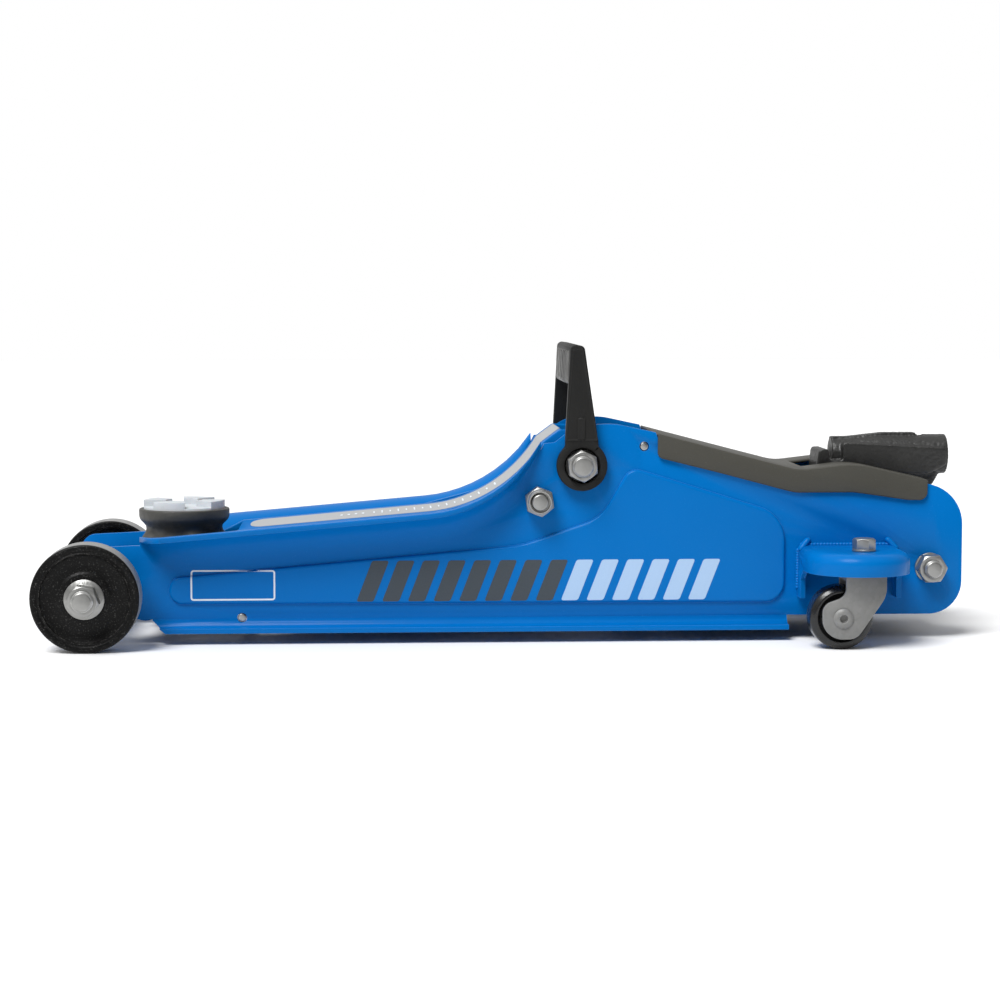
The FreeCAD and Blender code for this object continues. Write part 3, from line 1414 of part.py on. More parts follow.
def rear_cover():
    rear = value(REAR_X)
    pivot = value("pivot_x")
    high = value("cover_height")
    arch = value("pivot_height + arch_rise")
    wall = value("cover_wall")
    cover = body("rear_cover")

    side = sketch(cover, "XZ_Plane")
    low_edge = [
        (pivot + 46, arch - 20, 4),
        (pivot + 82, arch - 29, 20),
        (rear - 103, high - 16.6, 30),
        (rear - 67, high - 16.5, 40),
        (rear - 34, high - 21.3, 5),
        (rear - 22, high - 21.5, 5),
    ]
    side.addGeometry(rounded(cover_line(0) + low_edge), False)
    pad(cover, side, "frame_width + 2 * cover_wall + 0.6", middle=True)
    inside = sketch(cover, "XZ_Plane")
    deep = [(pivot + 36, arch - 60, 0), (rear - 12, arch - 60, 0)]
    rim = cover_line(wall)
    rim[0] = (rear - 12, high - 11.3 - wall, 0)
    rim[-1] = (pivot + 36, arch - 3 - wall, 0)
    inside.addGeometry(rounded(rim + deep), False)
    pocket(cover, inside, "frame_width + 0.6", middle=True)
    slot = sketch(cover, "XY_Plane", "cover_height + 10")
    polygon(
        slot,
        [
            (f"{SOCKET_X} - 20", "-slot_width / 2"),
            (f"{REAR_X} - 10", "-slot_width / 2"),
            (f"{REAR_X} - 10", "slot_width / 2"),
            (f"{SOCKET_X} - 20", "slot_width / 2"),
        ],
    )
    pocket(cover, slot, "60")
    keep(cover, "rear_cover")


def handle_socket():
    """The barrel for the handle bar, with a cheek on each side that runs down to the pivot and the roller."""
    end = f"({REAR_X} - 1)"
    x = value(SOCKET_X)
    z = value("socket_pin_height")
    axis = value("socket_height")
    radius = value("socket_radius")
    rear = value(end)
    socket = body("handle_socket")
    barrel = sketch(socket, "YZ_Plane", f"{SOCKET_X} + 30")
    circle(barrel, "0", "socket_height", "socket_radius")
    pad(socket, barrel, f"{end} - {SOCKET_X} - 30")
    wide = sketch(socket, "YZ_Plane", f"{SOCKET_X} + 30")
    circle(wide, "0", "socket_height", "socket_radius")
    narrow = sketch(socket, "YZ_Plane", f"{SOCKET_X} + 2")
    circle(narrow, "0", "socket_height", "socket_radius - 2")
    taper = socket.newObject("PartDesign::AdditiveLoft", "handle_socket_taper")
    taper.Profile = wide
    taper.Sections = [narrow]
    taper.Ruled = True
    cheeks = sketch(socket, "XZ_Plane")
    cheeks.addGeometry(
        rounded(
            [
                (x - 8, z - 8, 7.9),
                (x + 8, z - 8, 6),
                (x + 17, z - 1, 3),
                (x + 17, z - 13, 3),
                (x + 31, z - 13, 3),
                (x + 38, z + 5, 8),
                (rear - 12, axis - radius + 1, 6),
                (rear - 2, axis - 6, 2),
                (rear - 2, axis + 4.5, 2),
                (x + 7.5, axis + 8, 2),
                (x + 7.5, axis - 3, 1.5),
                (x - 0.5, axis - 3, 1),
                (x - 1.5, axis + 4, 2),
                (x - 7.5, axis + 4, 2.5),
                (x - 8.5, axis - 5, 3),
            ]
        ),
        False,
    )
    pad(socket, cheeks, "2 * socket_radius + 5", middle=True)
    low_space = sketch(socket, "XZ_Plane")
    polygon(
        low_space,
        [
            (f"{SOCKET_X} + 11", f"{ROLLER_Z} - 20"),
            (f"{SOCKET_X} + 60", f"{ROLLER_Z} - 20"),
            (f"{SOCKET_X} + 60", "socket_height - socket_radius - 2"),
            (f"{SOCKET_X} + 11", "socket_height - socket_radius - 2"),
        ],
    )
    pocket(socket, low_space, "2 * (roller_half + side_gap)", middle=True)
    rib = sketch(socket, "XZ_Plane")
    rib.addGeometry(
        rounded(
            [
                (rear - 40, axis - radius + 2, 0),
                (rear - 34, axis - radius - 6, 3),
                (rear - 8, axis - radius - 7, 2),
                (rear - 3, axis - radius + 2, 0),
            ]
        ),
        False,
    )
    pad(socket, rib, "7", middle=True)
    crown = sketch(socket, "XZ_Plane")
    crown.addGeometry(
        rounded(
            [
                (x + 2, axis + 3, 0),
                (rear - 19, axis + 3, 0),
                (rear - 19, axis + radius + 1.2, 0.8),
                (x + 34, axis + radius + 1.2, 30),
                (x + 12, axis + radius - 1.2, 0),
                (x + 2, axis + radius - 1.2, 1),
            ]
        ),
        False,
    )
    pad(socket, crown, "9", middle=True)
    bore = sketch(socket, "YZ_Plane", end)
    circle(bore, "0", "socket_height", "socket_bore")
    pocket(socket, bore, "socket_depth")
    notch = sketch(socket, "XY_Plane", "socket_height + socket_radius + 5")
    polygon(
        notch,
        [
            (f"{end} - 17.5", "-4"),
            (f"{end} - 14.3", "-4"),
            (f"{end} - 14.3", "4"),
            (f"{end} - 17.5", "4"),
        ],
    )
    pocket(socket, notch, "socket_radius")
    holes = sketch(socket, "XZ_Plane")
    circle(holes, SOCKET_X, "socket_pin_height", "socket_pin_radius + run_gap")
    circle(holes, ROLLER_X, ROLLER_Z, "roller_pin_radius")
    pocket(socket, holes)
    keep(socket, "handle_socket")

    reach = "(slot_width / 2 - 0.8)"
    at = (SOCKET_X, "0", "socket_pin_height")
    pin = shaft("socket_pivot_pin", "socket_pin_radius", f"-{reach}", reach, "0.6", at, OUTWARD)
    keep(pin, "socket_pivot_pin")
    at = (ROLLER_X, "0", ROLLER_Z)
    ends = ("-roller_half", "roller_half")
    roller = tube("pump_roller", "roller_radius", "roller_pin_radius", *ends, at, OUTWARD)
    keep(roller, "pump_roller")
    reach = "(socket_radius + 2.5)"
    keep(shaft("roller_pin", "roller_pin_radius", f"-{reach}", reach, "0.4", at, OUTWARD), "roller_pin")


side_plate()
castor_bracket()
castor()
front_axle()
frame_bolts()
lift_arm()
saddle_yoke()
saddle()
radius_rods()
hydraulics()
return_springs()
carry_handle()
rear_cover()
handle_socket()
doc.recompute()

for item in doc.Objects:
    if {"Invalid", "Error"} & set(item.State):
        raise ValueError(f"{item.Name} failed to build: {item.State}")
for label, item in nodes.items():
    if item.Shape.isNull() or not item.Shape.isValid() or not item.Shape.Solids:
        raise ValueError(f"{label} is not a valid solid")

os.makedirs("parts", exist_ok=True)
for label, item in nodes.items():
    item.Shape.exportStep(f"parts/{label}.step")
print(len(nodes), "nodes")
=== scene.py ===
import json
import math

import bmesh
import bpy
from mathutils import Matrix, Vector
from mathutils.bvhtree import BVHTree


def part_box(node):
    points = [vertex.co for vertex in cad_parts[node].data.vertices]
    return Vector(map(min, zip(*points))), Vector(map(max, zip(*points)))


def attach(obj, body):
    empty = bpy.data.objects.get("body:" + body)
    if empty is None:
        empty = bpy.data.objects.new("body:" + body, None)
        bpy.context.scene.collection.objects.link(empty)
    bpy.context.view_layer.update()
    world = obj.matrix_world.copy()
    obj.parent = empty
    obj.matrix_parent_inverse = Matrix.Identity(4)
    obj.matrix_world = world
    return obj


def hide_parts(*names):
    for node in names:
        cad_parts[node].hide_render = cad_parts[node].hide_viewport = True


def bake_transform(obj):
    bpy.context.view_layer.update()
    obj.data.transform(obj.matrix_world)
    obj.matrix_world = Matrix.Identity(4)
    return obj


# A low-entry trolley jack. X runs from the front wheels (-X) to the handle socket (+X), Y across and Z up,
# in metres. The left side is at -Y.

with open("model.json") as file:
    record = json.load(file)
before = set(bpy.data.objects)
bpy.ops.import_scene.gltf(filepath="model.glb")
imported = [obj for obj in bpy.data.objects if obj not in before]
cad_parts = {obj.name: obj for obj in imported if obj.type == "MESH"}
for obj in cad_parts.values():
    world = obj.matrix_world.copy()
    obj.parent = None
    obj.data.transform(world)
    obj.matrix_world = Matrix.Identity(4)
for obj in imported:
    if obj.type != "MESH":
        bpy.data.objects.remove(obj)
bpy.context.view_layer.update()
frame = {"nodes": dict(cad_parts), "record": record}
MM = 0.001
BEHAVIOUR = frame["record"]["behaviour"]
BODY_OF = {node: body for body, nodes in BEHAVIOUR["bodies"].items() for node in nodes}
SLOT_OF = {part["node"]: part["material_slot"] for part in frame["record"]["subparts"]}
SIDES = (("left", -1), ("right", 1))


# ---- finishes ------------------------------------------------------------------------------------


class Wire:
    """A socket of a finish, which takes part in sums."""

    def __init__(self, finish, socket):
        self.finish = finish
        self.socket = socket

    def __add__(self, other):
        return self.finish.math("ADD", self, other)

    def __sub__(self, other):
        return self.finish.math("SUBTRACT", self, other)

    def __mul__(self, other):
        return self.finish.math("MULTIPLY", self, other)

    def __rsub__(self, other):
        return self.finish.math("SUBTRACT", other, self)

    __radd__ = __add__
    __rmul__ = __mul__


class Finish:
    """A material for one kind of surface."""

    def __init__(self, name, **constants):
        self.material = bpy.data.materials.new(name)
        self.material.use_nodes = True
        self.tree = self.material.node_tree
        self.tree.nodes.clear()
        self.shader = self.tree.nodes.new("ShaderNodeBsdfPrincipled")
        output = self.tree.nodes.new("ShaderNodeOutputMaterial")
        self.tree.links.new(self.shader.outputs[0], output.inputs[0])
        for socket, number in constants.items():
            self.shader.inputs[socket.replace("_", " ")].default_value = number
        self.here = self.node("ShaderNodeTexCoord", output="Object")
        self.normal = self.node("ShaderNodeNewGeometry", output="Normal")

    def node(self, kind, settings=None, sockets=None, output=0):
        """Adds a node with its settings and inputs, and gives one of its outputs."""
        made = self.tree.nodes.new(kind)
        for name, setting in (settings or {}).items():
            setattr(made, name, setting)
        for name, given in (sockets or {}).items():
            if isinstance(given, Wire):
                self.tree.links.new(given.socket, made.inputs[name])
            else:
                made.inputs[name].default_value = given
        return Wire(self, made.outputs[output])

    def math(self, operation, first, second):
        return self.node("ShaderNodeMath", {"operation": operation}, {0: first, 1: second})

    def feed(self, socket, wire):
        self.tree.links.new(wire.socket, self.shader.inputs[socket])

    def axes(self):
        """The three coordinates of the point."""
        return [self.node("ShaderNodeSeparateXYZ", None, {0: self.here}, axis) for axis in "XYZ"]

    def noise(self, scale, detail=2.0, rough=0.5, stretch=None):
        where = self.here
        if stretch:
            where = self.node("ShaderNodeMapping", None, {"Vector": self.here, "Scale": stretch})
        sockets = {"Vector": where, "Scale": scale, "Detail": detail, "Roughness": rough}
        return self.node("ShaderNodeTexNoise", None, sockets)

    def cells(self, scale, output="Distance"):
        return self.node("ShaderNodeTexVoronoi", None, {"Vector": self.here, "Scale": scale}, output)

    def between(self, wire, low, high):
        """0 below low, 1 above high, smooth in between."""
        settings = {"interpolation_type": "SMOOTHSTEP"}
        return self.node("ShaderNodeMapRange", settings, {"Value": wire, "From Min": low, "From Max": high})

    def scaled(self, wire, low, high):
        """Spreads 0 to 1 over low to high."""
        return self.node("ShaderNodeMapRange", None, {"Value": wire, "To Min": low, "To Max": high})

    def blend(self, mask, first, second):
        """The first colour where the mask is 0, the second where it is 1."""
        colours = [given if isinstance(given, Wire) else (*given, 1) for given in (first, second)]
        sockets = {0: mask, 6: colours[0], 7: colours[1]}
        return self.node("ShaderNodeMix", {"data_type": "RGBA"}, sockets, 2)

    def corners(self, reach):
        """1 on outer and inner corners, 0 on flat ground."""
        soft = self.node("ShaderNodeBevel", {"samples": 4}, {"Radius": reach})
        settings = {"operation": "DOT_PRODUCT"}
        along = self.node("ShaderNodeVectorMath", settings, {0: soft, 1: self.normal}, "Value")
        return self.between(1 - along, 0.02, 0.16)

    def relief(self, height, strength, distance):
        """Height that shows in the light only."""
        sockets = {"Height": height, "Strength": strength, "Distance": distance}
        self.feed("Normal", self.node("ShaderNodeBump", None, sockets))


def radial(finish, centre):
    """Distance from an axle along Y that goes through a centre."""
    x, _, z = finish.axes()
    across = x - centre.x
    up = z - centre.z
    return finish.math("SQRT", across * across + up * up, 0.0)


def powder_coat():
    finish = Finish("blue_powder_coat", Specular_IOR_Level=0.08, Coat_Weight=0.03, Coat_Roughness=0.12)
    broad = finish.noise(9, 3)
    grain = finish.noise(1400, 2)
    colour = finish.blend(broad, (0.0, 0.138, 0.450), (0.0, 0.155, 0.500))
    colour = finish.blend(finish.between(grain, 0.62, 0.8) * 0.25, colour, (0.05, 0.26, 0.70))
    edges = finish.corners(0.7 * MM)
    # painted highlight: a lighter blue along every edge; the same edge mask also places the chips below
    colour = finish.blend(edges * 0.4, colour, (0.09, 0.30, 0.80))
    chipped = edges * finish.between(finish.noise(240, 4, 0.7), 0.68, 0.75)
    colour = finish.blend(chipped, colour, (0.20, 0.22, 0.24))
    finish.feed("Base Color", colour)
    finish.feed("Roughness", finish.scaled(finish.noise(60, 3), 0.24, 0.38) + chipped * 0.2)
    finish.relief(finish.noise(520, 2) + grain * 0.4 - chipped * 0.6, 0.10, 0.3 * MM)
    return finish.material


def wheel_enamel():
    finish = Finish("speckled_wheel_enamel", Specular_IOR_Level=0.14)
    rim = half_length("front_wheel_left")
    away = radial(finish, middle_of("front_wheel_left"))
    tread = finish.between(away, rim - 0.3 * MM, rim - 0.05 * MM)
    # pale flecks: the enamel's own speckle, which also stands for painted glints
    flecks_and_glints = finish.between(finish.noise(1100, 3, 0.7), 0.57, 0.70)
    colour = finish.blend(flecks_and_glints, (0.004, 0.004, 0.004), (0.075, 0.075, 0.072))
    # painted highlight: a lighter grey in patches along the edges
    wear_and_highlight = finish.corners(0.5 * MM) * finish.between(finish.noise(330, 3), 0.45, 0.6)
    colour = finish.blend(wear_and_highlight * 0.5, colour, (0.20, 0.195, 0.18))
    # painted reflection: a paler grey round the tread
    painted_tread_sheen = finish.blend(finish.noise(150, 3, 0.6, (1, 0.2, 1)), (0.20, 0.20, 0.198), (0.34, 0.34, 0.335))
    finish.feed("Base Color", finish.blend(tread, colour, painted_tread_sheen))
    finish.feed("Roughness", finish.scaled(flecks_and_glints, 0.42, 0.22) - tread * 0.05)
    finish.relief(finish.noise(480, 3, 0.6) * (1 - tread) + finish.noise(900, 2) * 0.2, 0.55, 0.4 * MM)
    return finish.material


def zinc_plate():
    finish = Finish("bright_zinc_plate", Metallic=0.85)
    cloud = finish.noise(120, 3, 0.6)
    colour = finish.blend(cloud, (0.26, 0.26, 0.25), (0.42, 0.42, 0.41))
    bright = finish.corners(0.5 * MM)
    # painted highlight: a near-white along the edges
    colour = finish.blend(bright * 0.7, colour, (0.86, 0.86, 0.85))
    scratched = finish.noise(900, 2, 0.5, (1, 0.08, 1))
    finish.feed("Base Color", colour)
    finish.feed("Roughness", finish.scaled(cloud, 0.30, 0.46) - bright * 0.08)
    finish.relief(scratched + finish.noise(1500, 2) * 0.5, 0.22, 0.15 * MM)
    return finish.material


def dull_zinc():
    finish = Finish("dull_zinc_sheet", Metallic=0.25)
    spangle = finish.cells(420, output="Color")
    spangle = finish.node("ShaderNodeRGBToBW", None, {0: spangle})
    broad = finish.noise(45, 3)
    colour = finish.blend(broad * 0.6 + spangle * 0.4, (0.17, 0.17, 0.165), (0.27, 0.27, 0.262))
    bright = finish.corners(0.6 * MM)
    # painted highlight: a pale grey along the edges
    finish.feed("Base Color", finish.blend(bright * 0.75, colour, (0.55, 0.55, 0.54)))
    finish.feed("Roughness", finish.scaled(spangle, 0.42, 0.58))
    finish.relief(finish.noise(800, 3) + spangle * 0.3, 0.2, 0.2 * MM)
    return finish.material


def casting(name, dark, light, shine, relief):
    """Rough cast iron under a thin coat, with a painted highlight in patches along its edges."""
    finish = Finish(name, Metallic=0.1, Specular_IOR_Level=0.6)
    pits = finish.cells(330)
    skin = finish.noise(420, 4, 0.65)
    colour = finish.blend(finish.noise(60, 3), dark, light)
    # painted highlight: lighter in patches along the edges
    wear_and_highlight = finish.corners(0.8 * MM) * finish.between(skin, 0.42, 0.62)
    finish.feed("Base Color", finish.blend(wear_and_highlight * 0.6, colour, [c * 2.6 + 0.05 for c in light]))
    finish.feed("Roughness", finish.scaled(skin, shine, shine + 0.25))
    finish.relief(skin + pits * 0.5, relief, 0.5 * MM)
    return finish.material


def moulded(name, dark, light, rough):
    """Injection moulded plastic with a fine spark grain."""
    finish = Finish(name, Specular_IOR_Level=0.2)
    broad = finish.noise(25, 3)
    grain = finish.noise(1300, 2, 0.6)
    # painted highlight: a paler tone along all edges
    wear_and_highlight = finish.corners(0.6 * MM)
    colour = finish.blend(broad, dark, light)
    colour = finish.blend(wear_and_highlight * 0.35, colour, [c * 2.2 + 0.02 for c in light])
    # painted glints: paler specks on the grain
    sparkle = finish.between(grain, 0.6, 0.8) * 0.3
    finish.feed("Base Color", finish.blend(sparkle, colour, [c * 2 for c in light]))
    finish.feed("Roughness", finish.scaled(grain, rough, rough + 0.16))
    finish.relief(grain + finish.cells(1000) * 0.4, 0.35, 0.2 * MM)
    return finish.material


def grip_moulding():
    """The moulding of the grip, painted a paler grey for the light on its front, with fine grooves up its
    front painted near black for their shade.
    """
    finish = Finish("grip_moulding", Specular_IOR_Level=0.3)
    across = finish.axes()[1]
    pitch = 4.2 * MM
    wave = finish.math("SINE", across * (math.tau / pitch), 0.0)
    groove = finish.between(wave, -0.2, 0.9)
    # painted light: the grip's front is a paler grey for the light that falls on it, varied in patches
    wear_and_highlight = finish.between(finish.noise(120, 4, 0.6), 0.3, 0.7)
    pale = finish.blend(wear_and_highlight, (0.095, 0.093, 0.088), (0.17, 0.168, 0.16))
    # painted shade: the grooves are near black
    finish.feed("Base Color", finish.blend(groove, pale, (0.022, 0.022, 0.021)))
    finish.feed("Roughness", finish.scaled(wear_and_highlight, 0.42, 0.3))
    finish.relief(1 - groove + finish.noise(900, 2) * 0.2, 0.5, 0.5 * MM)
    return finish.material


def pad_moulding():
    finish = Finish("pale_pad_moulding", Specular_IOR_Level=0.4, Subsurface_Weight=0.05)
    broad = finish.noise(50, 3)
    marks = finish.between(finish.noise(170, 4, 0.7), 0.60, 0.72)
    colour = finish.blend(broad, (0.50, 0.53, 0.56), (0.62, 0.65, 0.68))
    finish.feed("Base Color", finish.blend(marks * 0.4, colour, (0.42, 0.43, 0.45)))
    finish.feed("Roughness", finish.scaled(broad, 0.42, 0.6))
    finish.relief(finish.noise(700, 3), 0.25, 0.3 * MM)
    return finish.material


def castor_plastic():
    finish = Finish("castor_tread_plastic", Specular_IOR_Level=0.5)
    grain = finish.noise(900, 2)
    dust = finish.between(finish.noise(110, 4, 0.6), 0.55, 0.75)
    colour = finish.blend(dust * 0.5, (0.010, 0.010, 0.010), (0.045, 0.043, 0.040))
    # painted highlight: a paler tone along all edges
    wear_and_highlight = finish.corners(0.7 * MM)
    finish.feed("Base Color", finish.blend(wear_and_highlight * 0.3, colour, (0.09, 0.09, 0.088)))
    finish.feed("Roughness", finish.scaled(dust, 0.26, 0.5))
    finish.relief(grain, 0.2, 0.2 * MM)
    return finish.material


def ground_steel(name, dark, light, rough, stretch):
    """Machined or drawn steel: fine marks along one direction, a little oil."""
    finish = Finish(name, Metallic=1.0)
    marks = finish.noise(700, 3, 0.6, stretch)
    oil = finish.noise(30, 3)
    # painted highlight: a paler tone along the edges
    bright = finish.corners(0.4 * MM)
    colour = finish.blend(marks * 0.5 + oil * 0.5, dark, light)
    finish.feed("Base Color", finish.blend(bright * 0.5, colour, [min(1, c * 1.4) for c in light]))
    finish.feed("Roughness", finish.scaled(oil, rough, rough + 0.18))
    finish.relief(marks, 0.15, 0.1 * MM)
    return finish.material


def printed(name, dark, light):
    """A printed film with a fine grain and slightly rubbed ink."""
    finish = Finish(name, Specular_IOR_Level=0.4)
    wear_and_highlight = finish.between(finish.noise(260, 4, 0.7), 0.66, 0.76)
    colour = finish.blend(finish.noise(1100, 2), dark, light)
    finish.feed("Base Color", finish.blend(wear_and_highlight * 0.15, colour, (0.02, 0.14, 0.5)))
    finish.feed("Roughness", finish.scaled(finish.noise(300, 3), 0.38, 0.55))
    finish.relief(finish.noise(700, 2), 0.12, 0.1 * MM)
    return finish.material


def middle_of(node):
    low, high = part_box(node)
    return (low + high) / 2


def half_length(node):
    """Half of a node along X, which is the radius of a round one across the jack."""
    low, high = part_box(node)
    return (high.x - low.x) / 2


def make_finishes():
    """One finish for each material slot. Marks on ground steel run along the axis of the smallest stretch."""
    across, upward = (1, 0.1, 1), (1, 1, 0.2)
    lengthways = (0.1, 1, 1)
    return {
        "blue_paint": powder_coat(),
        "black_paint": casting("black_cast_paint", (0.012, 0.012, 0.012), (0.03, 0.03, 0.028), 0.28, 0.55),
        "wheel_black": wheel_enamel(),
        "bright_zinc": zinc_plate(),
        "grey_zinc": dull_zinc(),
        "dark_cast": casting("dark_cast_iron", (0.040, 0.039, 0.034), (0.075, 0.073, 0.064), 0.36, 0.6),
        "pad_rubber": pad_moulding(),
        "castor_tread": castor_plastic(),
        "black_plastic": moulded("black_moulding", (0.010, 0.010, 0.010), (0.018, 0.018, 0.017), 0.42),
        "cover_grey": moulded("grey_cover_moulding", (0.058, 0.056, 0.047), (0.070, 0.068, 0.058), 0.36),
        "machined_steel": ground_steel("ground_steel", (0.30, 0.30, 0.30), (0.50, 0.50, 0.49), 0.25, across),
        "chrome_rod": ground_steel("hard_chrome", (0.60, 0.60, 0.61), (0.72, 0.72, 0.73), 0.08, lengthways),
        "spring_steel": ground_steel("spring_steel", (0.16, 0.16, 0.165), (0.30, 0.30, 0.30), 0.3, upward),
        "red_plug": moulded("red_plug_moulding", (0.22, 0.015, 0.012), (0.30, 0.022, 0.018), 0.4),
    }


FINISHES = make_finishes()
INK = {
    "slate": printed("slate_print", (0.040, 0.052, 0.064), (0.052, 0.066, 0.080)),
    "pale": printed("pale_blue_print", (0.36, 0.53, 0.76), (0.42, 0.58, 0.80)),
    "white": printed("white_print", (0.70, 0.76, 0.82), (0.78, 0.83, 0.88)),
    "strip": printed("grey_film", (0.36, 0.37, 0.38), (0.44, 0.45, 0.46)),
}


# ---- making pieces -------------------------------------------------------------------------------


def show(work, name, body, slot, finish=None, rounding=0.0, steps=2, angle=32, stands_for=(), span=None):
    """Turns a bmesh into a piece that rides on a body, or, given a span, is left in place on no body."""
    mesh = bpy.data.meshes.new(name)
    work.to_mesh(mesh)
    work.free()
    for face in mesh.polygons:
        face.use_smooth = True
    mesh.materials.append(finish or FINISHES[slot])
    item = bpy.data.objects.new(name, mesh)
    bpy.context.scene.collection.objects.link(item)
    if rounding:
        bevel = item.modifiers.new("rounding", "BEVEL")
        bevel.width = rounding
        bevel.segments = steps
        bevel.limit_method = "ANGLE"
        bevel.angle_limit = math.radians(angle)
        bevel.miter_outer = "MITER_ARC"
        bevel.harden_normals = True
    else:
        mesh.set_sharp_from_angle(angle=math.radians(angle))
    if span:
        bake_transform(item)
    else:
        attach(item, body)
    if stands_for:
        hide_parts(*stands_for)
    return item


def clean(work):
    """Joins doubled points and turns every face outwards."""
    bmesh.ops.remove_doubles(work, verts=work.verts, dist=2e-6)
    bmesh.ops.recalc_face_normals(work, faces=work.faces)
    return work


def join(work, part):
    """Moves one bmesh into another."""
    mesh = bpy.data.meshes.new("part")
    part.to_mesh(mesh)
    part.free()
    work.from_mesh(mesh)
    bpy.data.meshes.remove(mesh)


def copied(node):
    """A CAD node's mesh with its triangles joined into whole faces."""
    work = bmesh.new()
    work.from_mesh(frame["nodes"][node].data)
    bmesh.ops.remove_doubles(work, verts=work.verts, dist=3e-6)
    bmesh.ops.dissolve_degenerate(work, edges=work.edges, dist=1e-6)
    flat = math.radians(0.8)
    bmesh.ops.dissolve_limit(work, angle_limit=flat, verts=work.verts, edges=work.edges)
    return work


def softened(node, rounding, steps=2, angle=32, name=None):
    """Stands for a CAD node with the same shape and rounded edges."""
    name = name or node + "_shell"
    show(copied(node), name, BODY_OF[node], SLOT_OF[node], None, rounding, steps, angle, [node])


def turned(profile, steps):
    """A bmesh turned about Z from a run of (radius, height) points."""
    work = bmesh.new()
    points = [work.verts.new((radius, 0, height)) for radius, height in profile]
    for a, b in zip(points, points[1:]):
        work.edges.new((a, b))
    geometry = work.verts[:] + work.edges[:]
    bmesh.ops.spin(
        work, geom=geometry, angle=math.tau, steps=steps, axis=(0, 0, 1), cent=(0, 0, 0), use_merge=True
    )
    return work


def spun(profile, centre, outward, steps=96):
    """A closed profile of (radius, distance outwards) points, turned about an axis along Y."""
    work = turned(profile + profile[:1], steps)
    turn = Matrix.Rotation(math.radians(-90 * outward), 4, "X")
    bmesh.ops.transform(work, matrix=Matrix.Translation(centre) @ turn, verts=work.verts)
    return clean(work)


def blob(work, centre, size, turn=Matrix.Identity(4)):
    """A squashed ball."""
    scale = Matrix.Diagonal((*size, 1))
    matrix = Matrix.Translation(centre) @ turn @ scale
    bmesh.ops.create_icosphere(work, subdivisions=2, radius=1.0, matrix=matrix)


def bar(work, start, end, radius, sides):
    """A round bar from one point to another."""
    along = end - start
    turn = along.to_track_quat("Z", "Y").to_matrix().to_4x4()
    matrix = Matrix.Translation((start + end) / 2) @ turn
    bmesh.ops.create_cone(
        work, cap_ends=True, segments=sides, radius1=radius, radius2=radius, depth=along.length, matrix=matrix
    )


# ---- front wheels --------------------------------------------------------------------------------


def front_wheel(label, outward):
    """A disc with a rounded tread, a raised ring near its edge and a raised hub. Drawn 32 by 20 mm."""
    node = "front_wheel_" + label
    low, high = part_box(node)
    centre = middle_of(node)
    inner = min(abs(low.y), abs(high.y))
    base = Vector((centre.x, outward * inner, centre.z))
    across = half_length(node) / 32
    along = (high.y - low.y) / 20
    corners = [
        (6.05, 0), (13, 0), (14, 3), (27, 3), (28, 0.4), (30.8, 0.1), (31.8, 0.6), (32, 1.2),
        (32, 18.2), (31.75, 19.2), (31.0, 19.9), (30.2, 20), (28.6, 20), (28.1, 19.7), (27.8, 19.45),
        (27.2, 19.5), (26.9, 19.85), (26.3, 19.85), (25.9, 19.2), (25.3, 18.7), (20, 18.55), (16.6, 18.6),
        (15.6, 19.0), (15.0, 19.6), (14.2, 19.8), (6.05, 19.8),
    ]
    work = spun([(r * across, w * along) for r, w in corners], base, outward)
    show(work, node + "_disc", node, "wheel_black", angle=50, stands_for=[node])


def castor_wheel(label, outward):
    """A hub, a hollow web and a domed tyre, the same on both sides. Drawn 19 mm in radius and 17 mm wide."""
    node = "castor_wheel_" + label
    low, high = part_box(node)
    across = half_length(node) / 19
    along = (high.y - low.y) / 17
    side = [
        (4.05, 8.5), (7.6, 8.5), (8.4, 8.2), (9.2, 6.6), (13.2, 6.4), (14.0, 7.2), (14.6, 8.2), (15.6, 8.35),
        (16.4, 8.0), (16.8, 7.6), (17.6, 7.2), (18.4, 6.5), (18.9, 5.4), (19, 4.2), (19, 1.5),
    ]
    corners = side + [(r, -w) for r, w in reversed(side)]
    work = spun([(r * across, w * along) for r, w in corners], middle_of(node), outward, 72)
    show(work, node + "_tyre", node, "castor_tread", angle=50, stands_for=[node])


# ---- fastener threads ----------------------------------------------------------------------------


def thread(node, nut_node, count=3):
    """Thread crests on both ends of a bolt along Y, from the nut's face outwards."""
    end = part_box(node)[1].y
    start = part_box(nut_node)[1].y
    centre = middle_of(node)
    radius = half_length(node)
    root, crest, core = radius - 0.1 * MM, radius + 0.32 * MM, radius - 0.8 * MM
    pitch = (end - start - 0.6 * MM) / count
    work = bmesh.new()
    for outward in (-1, 1):
        points = []
        for step in range(count):
            points += [(root, step * pitch), (crest, (step + 0.5) * pitch)]
        points += [(root, count * pitch), (core, count * pitch), (core, 0)]
        join(work, spun(points, Vector((centre.x, outward * start, centre.z)), outward, 40))
    show(work, node + "_thread", "chassis", "bright_zinc", angle=40)


# ---- carry handle --------------------------------------------------------------------------------


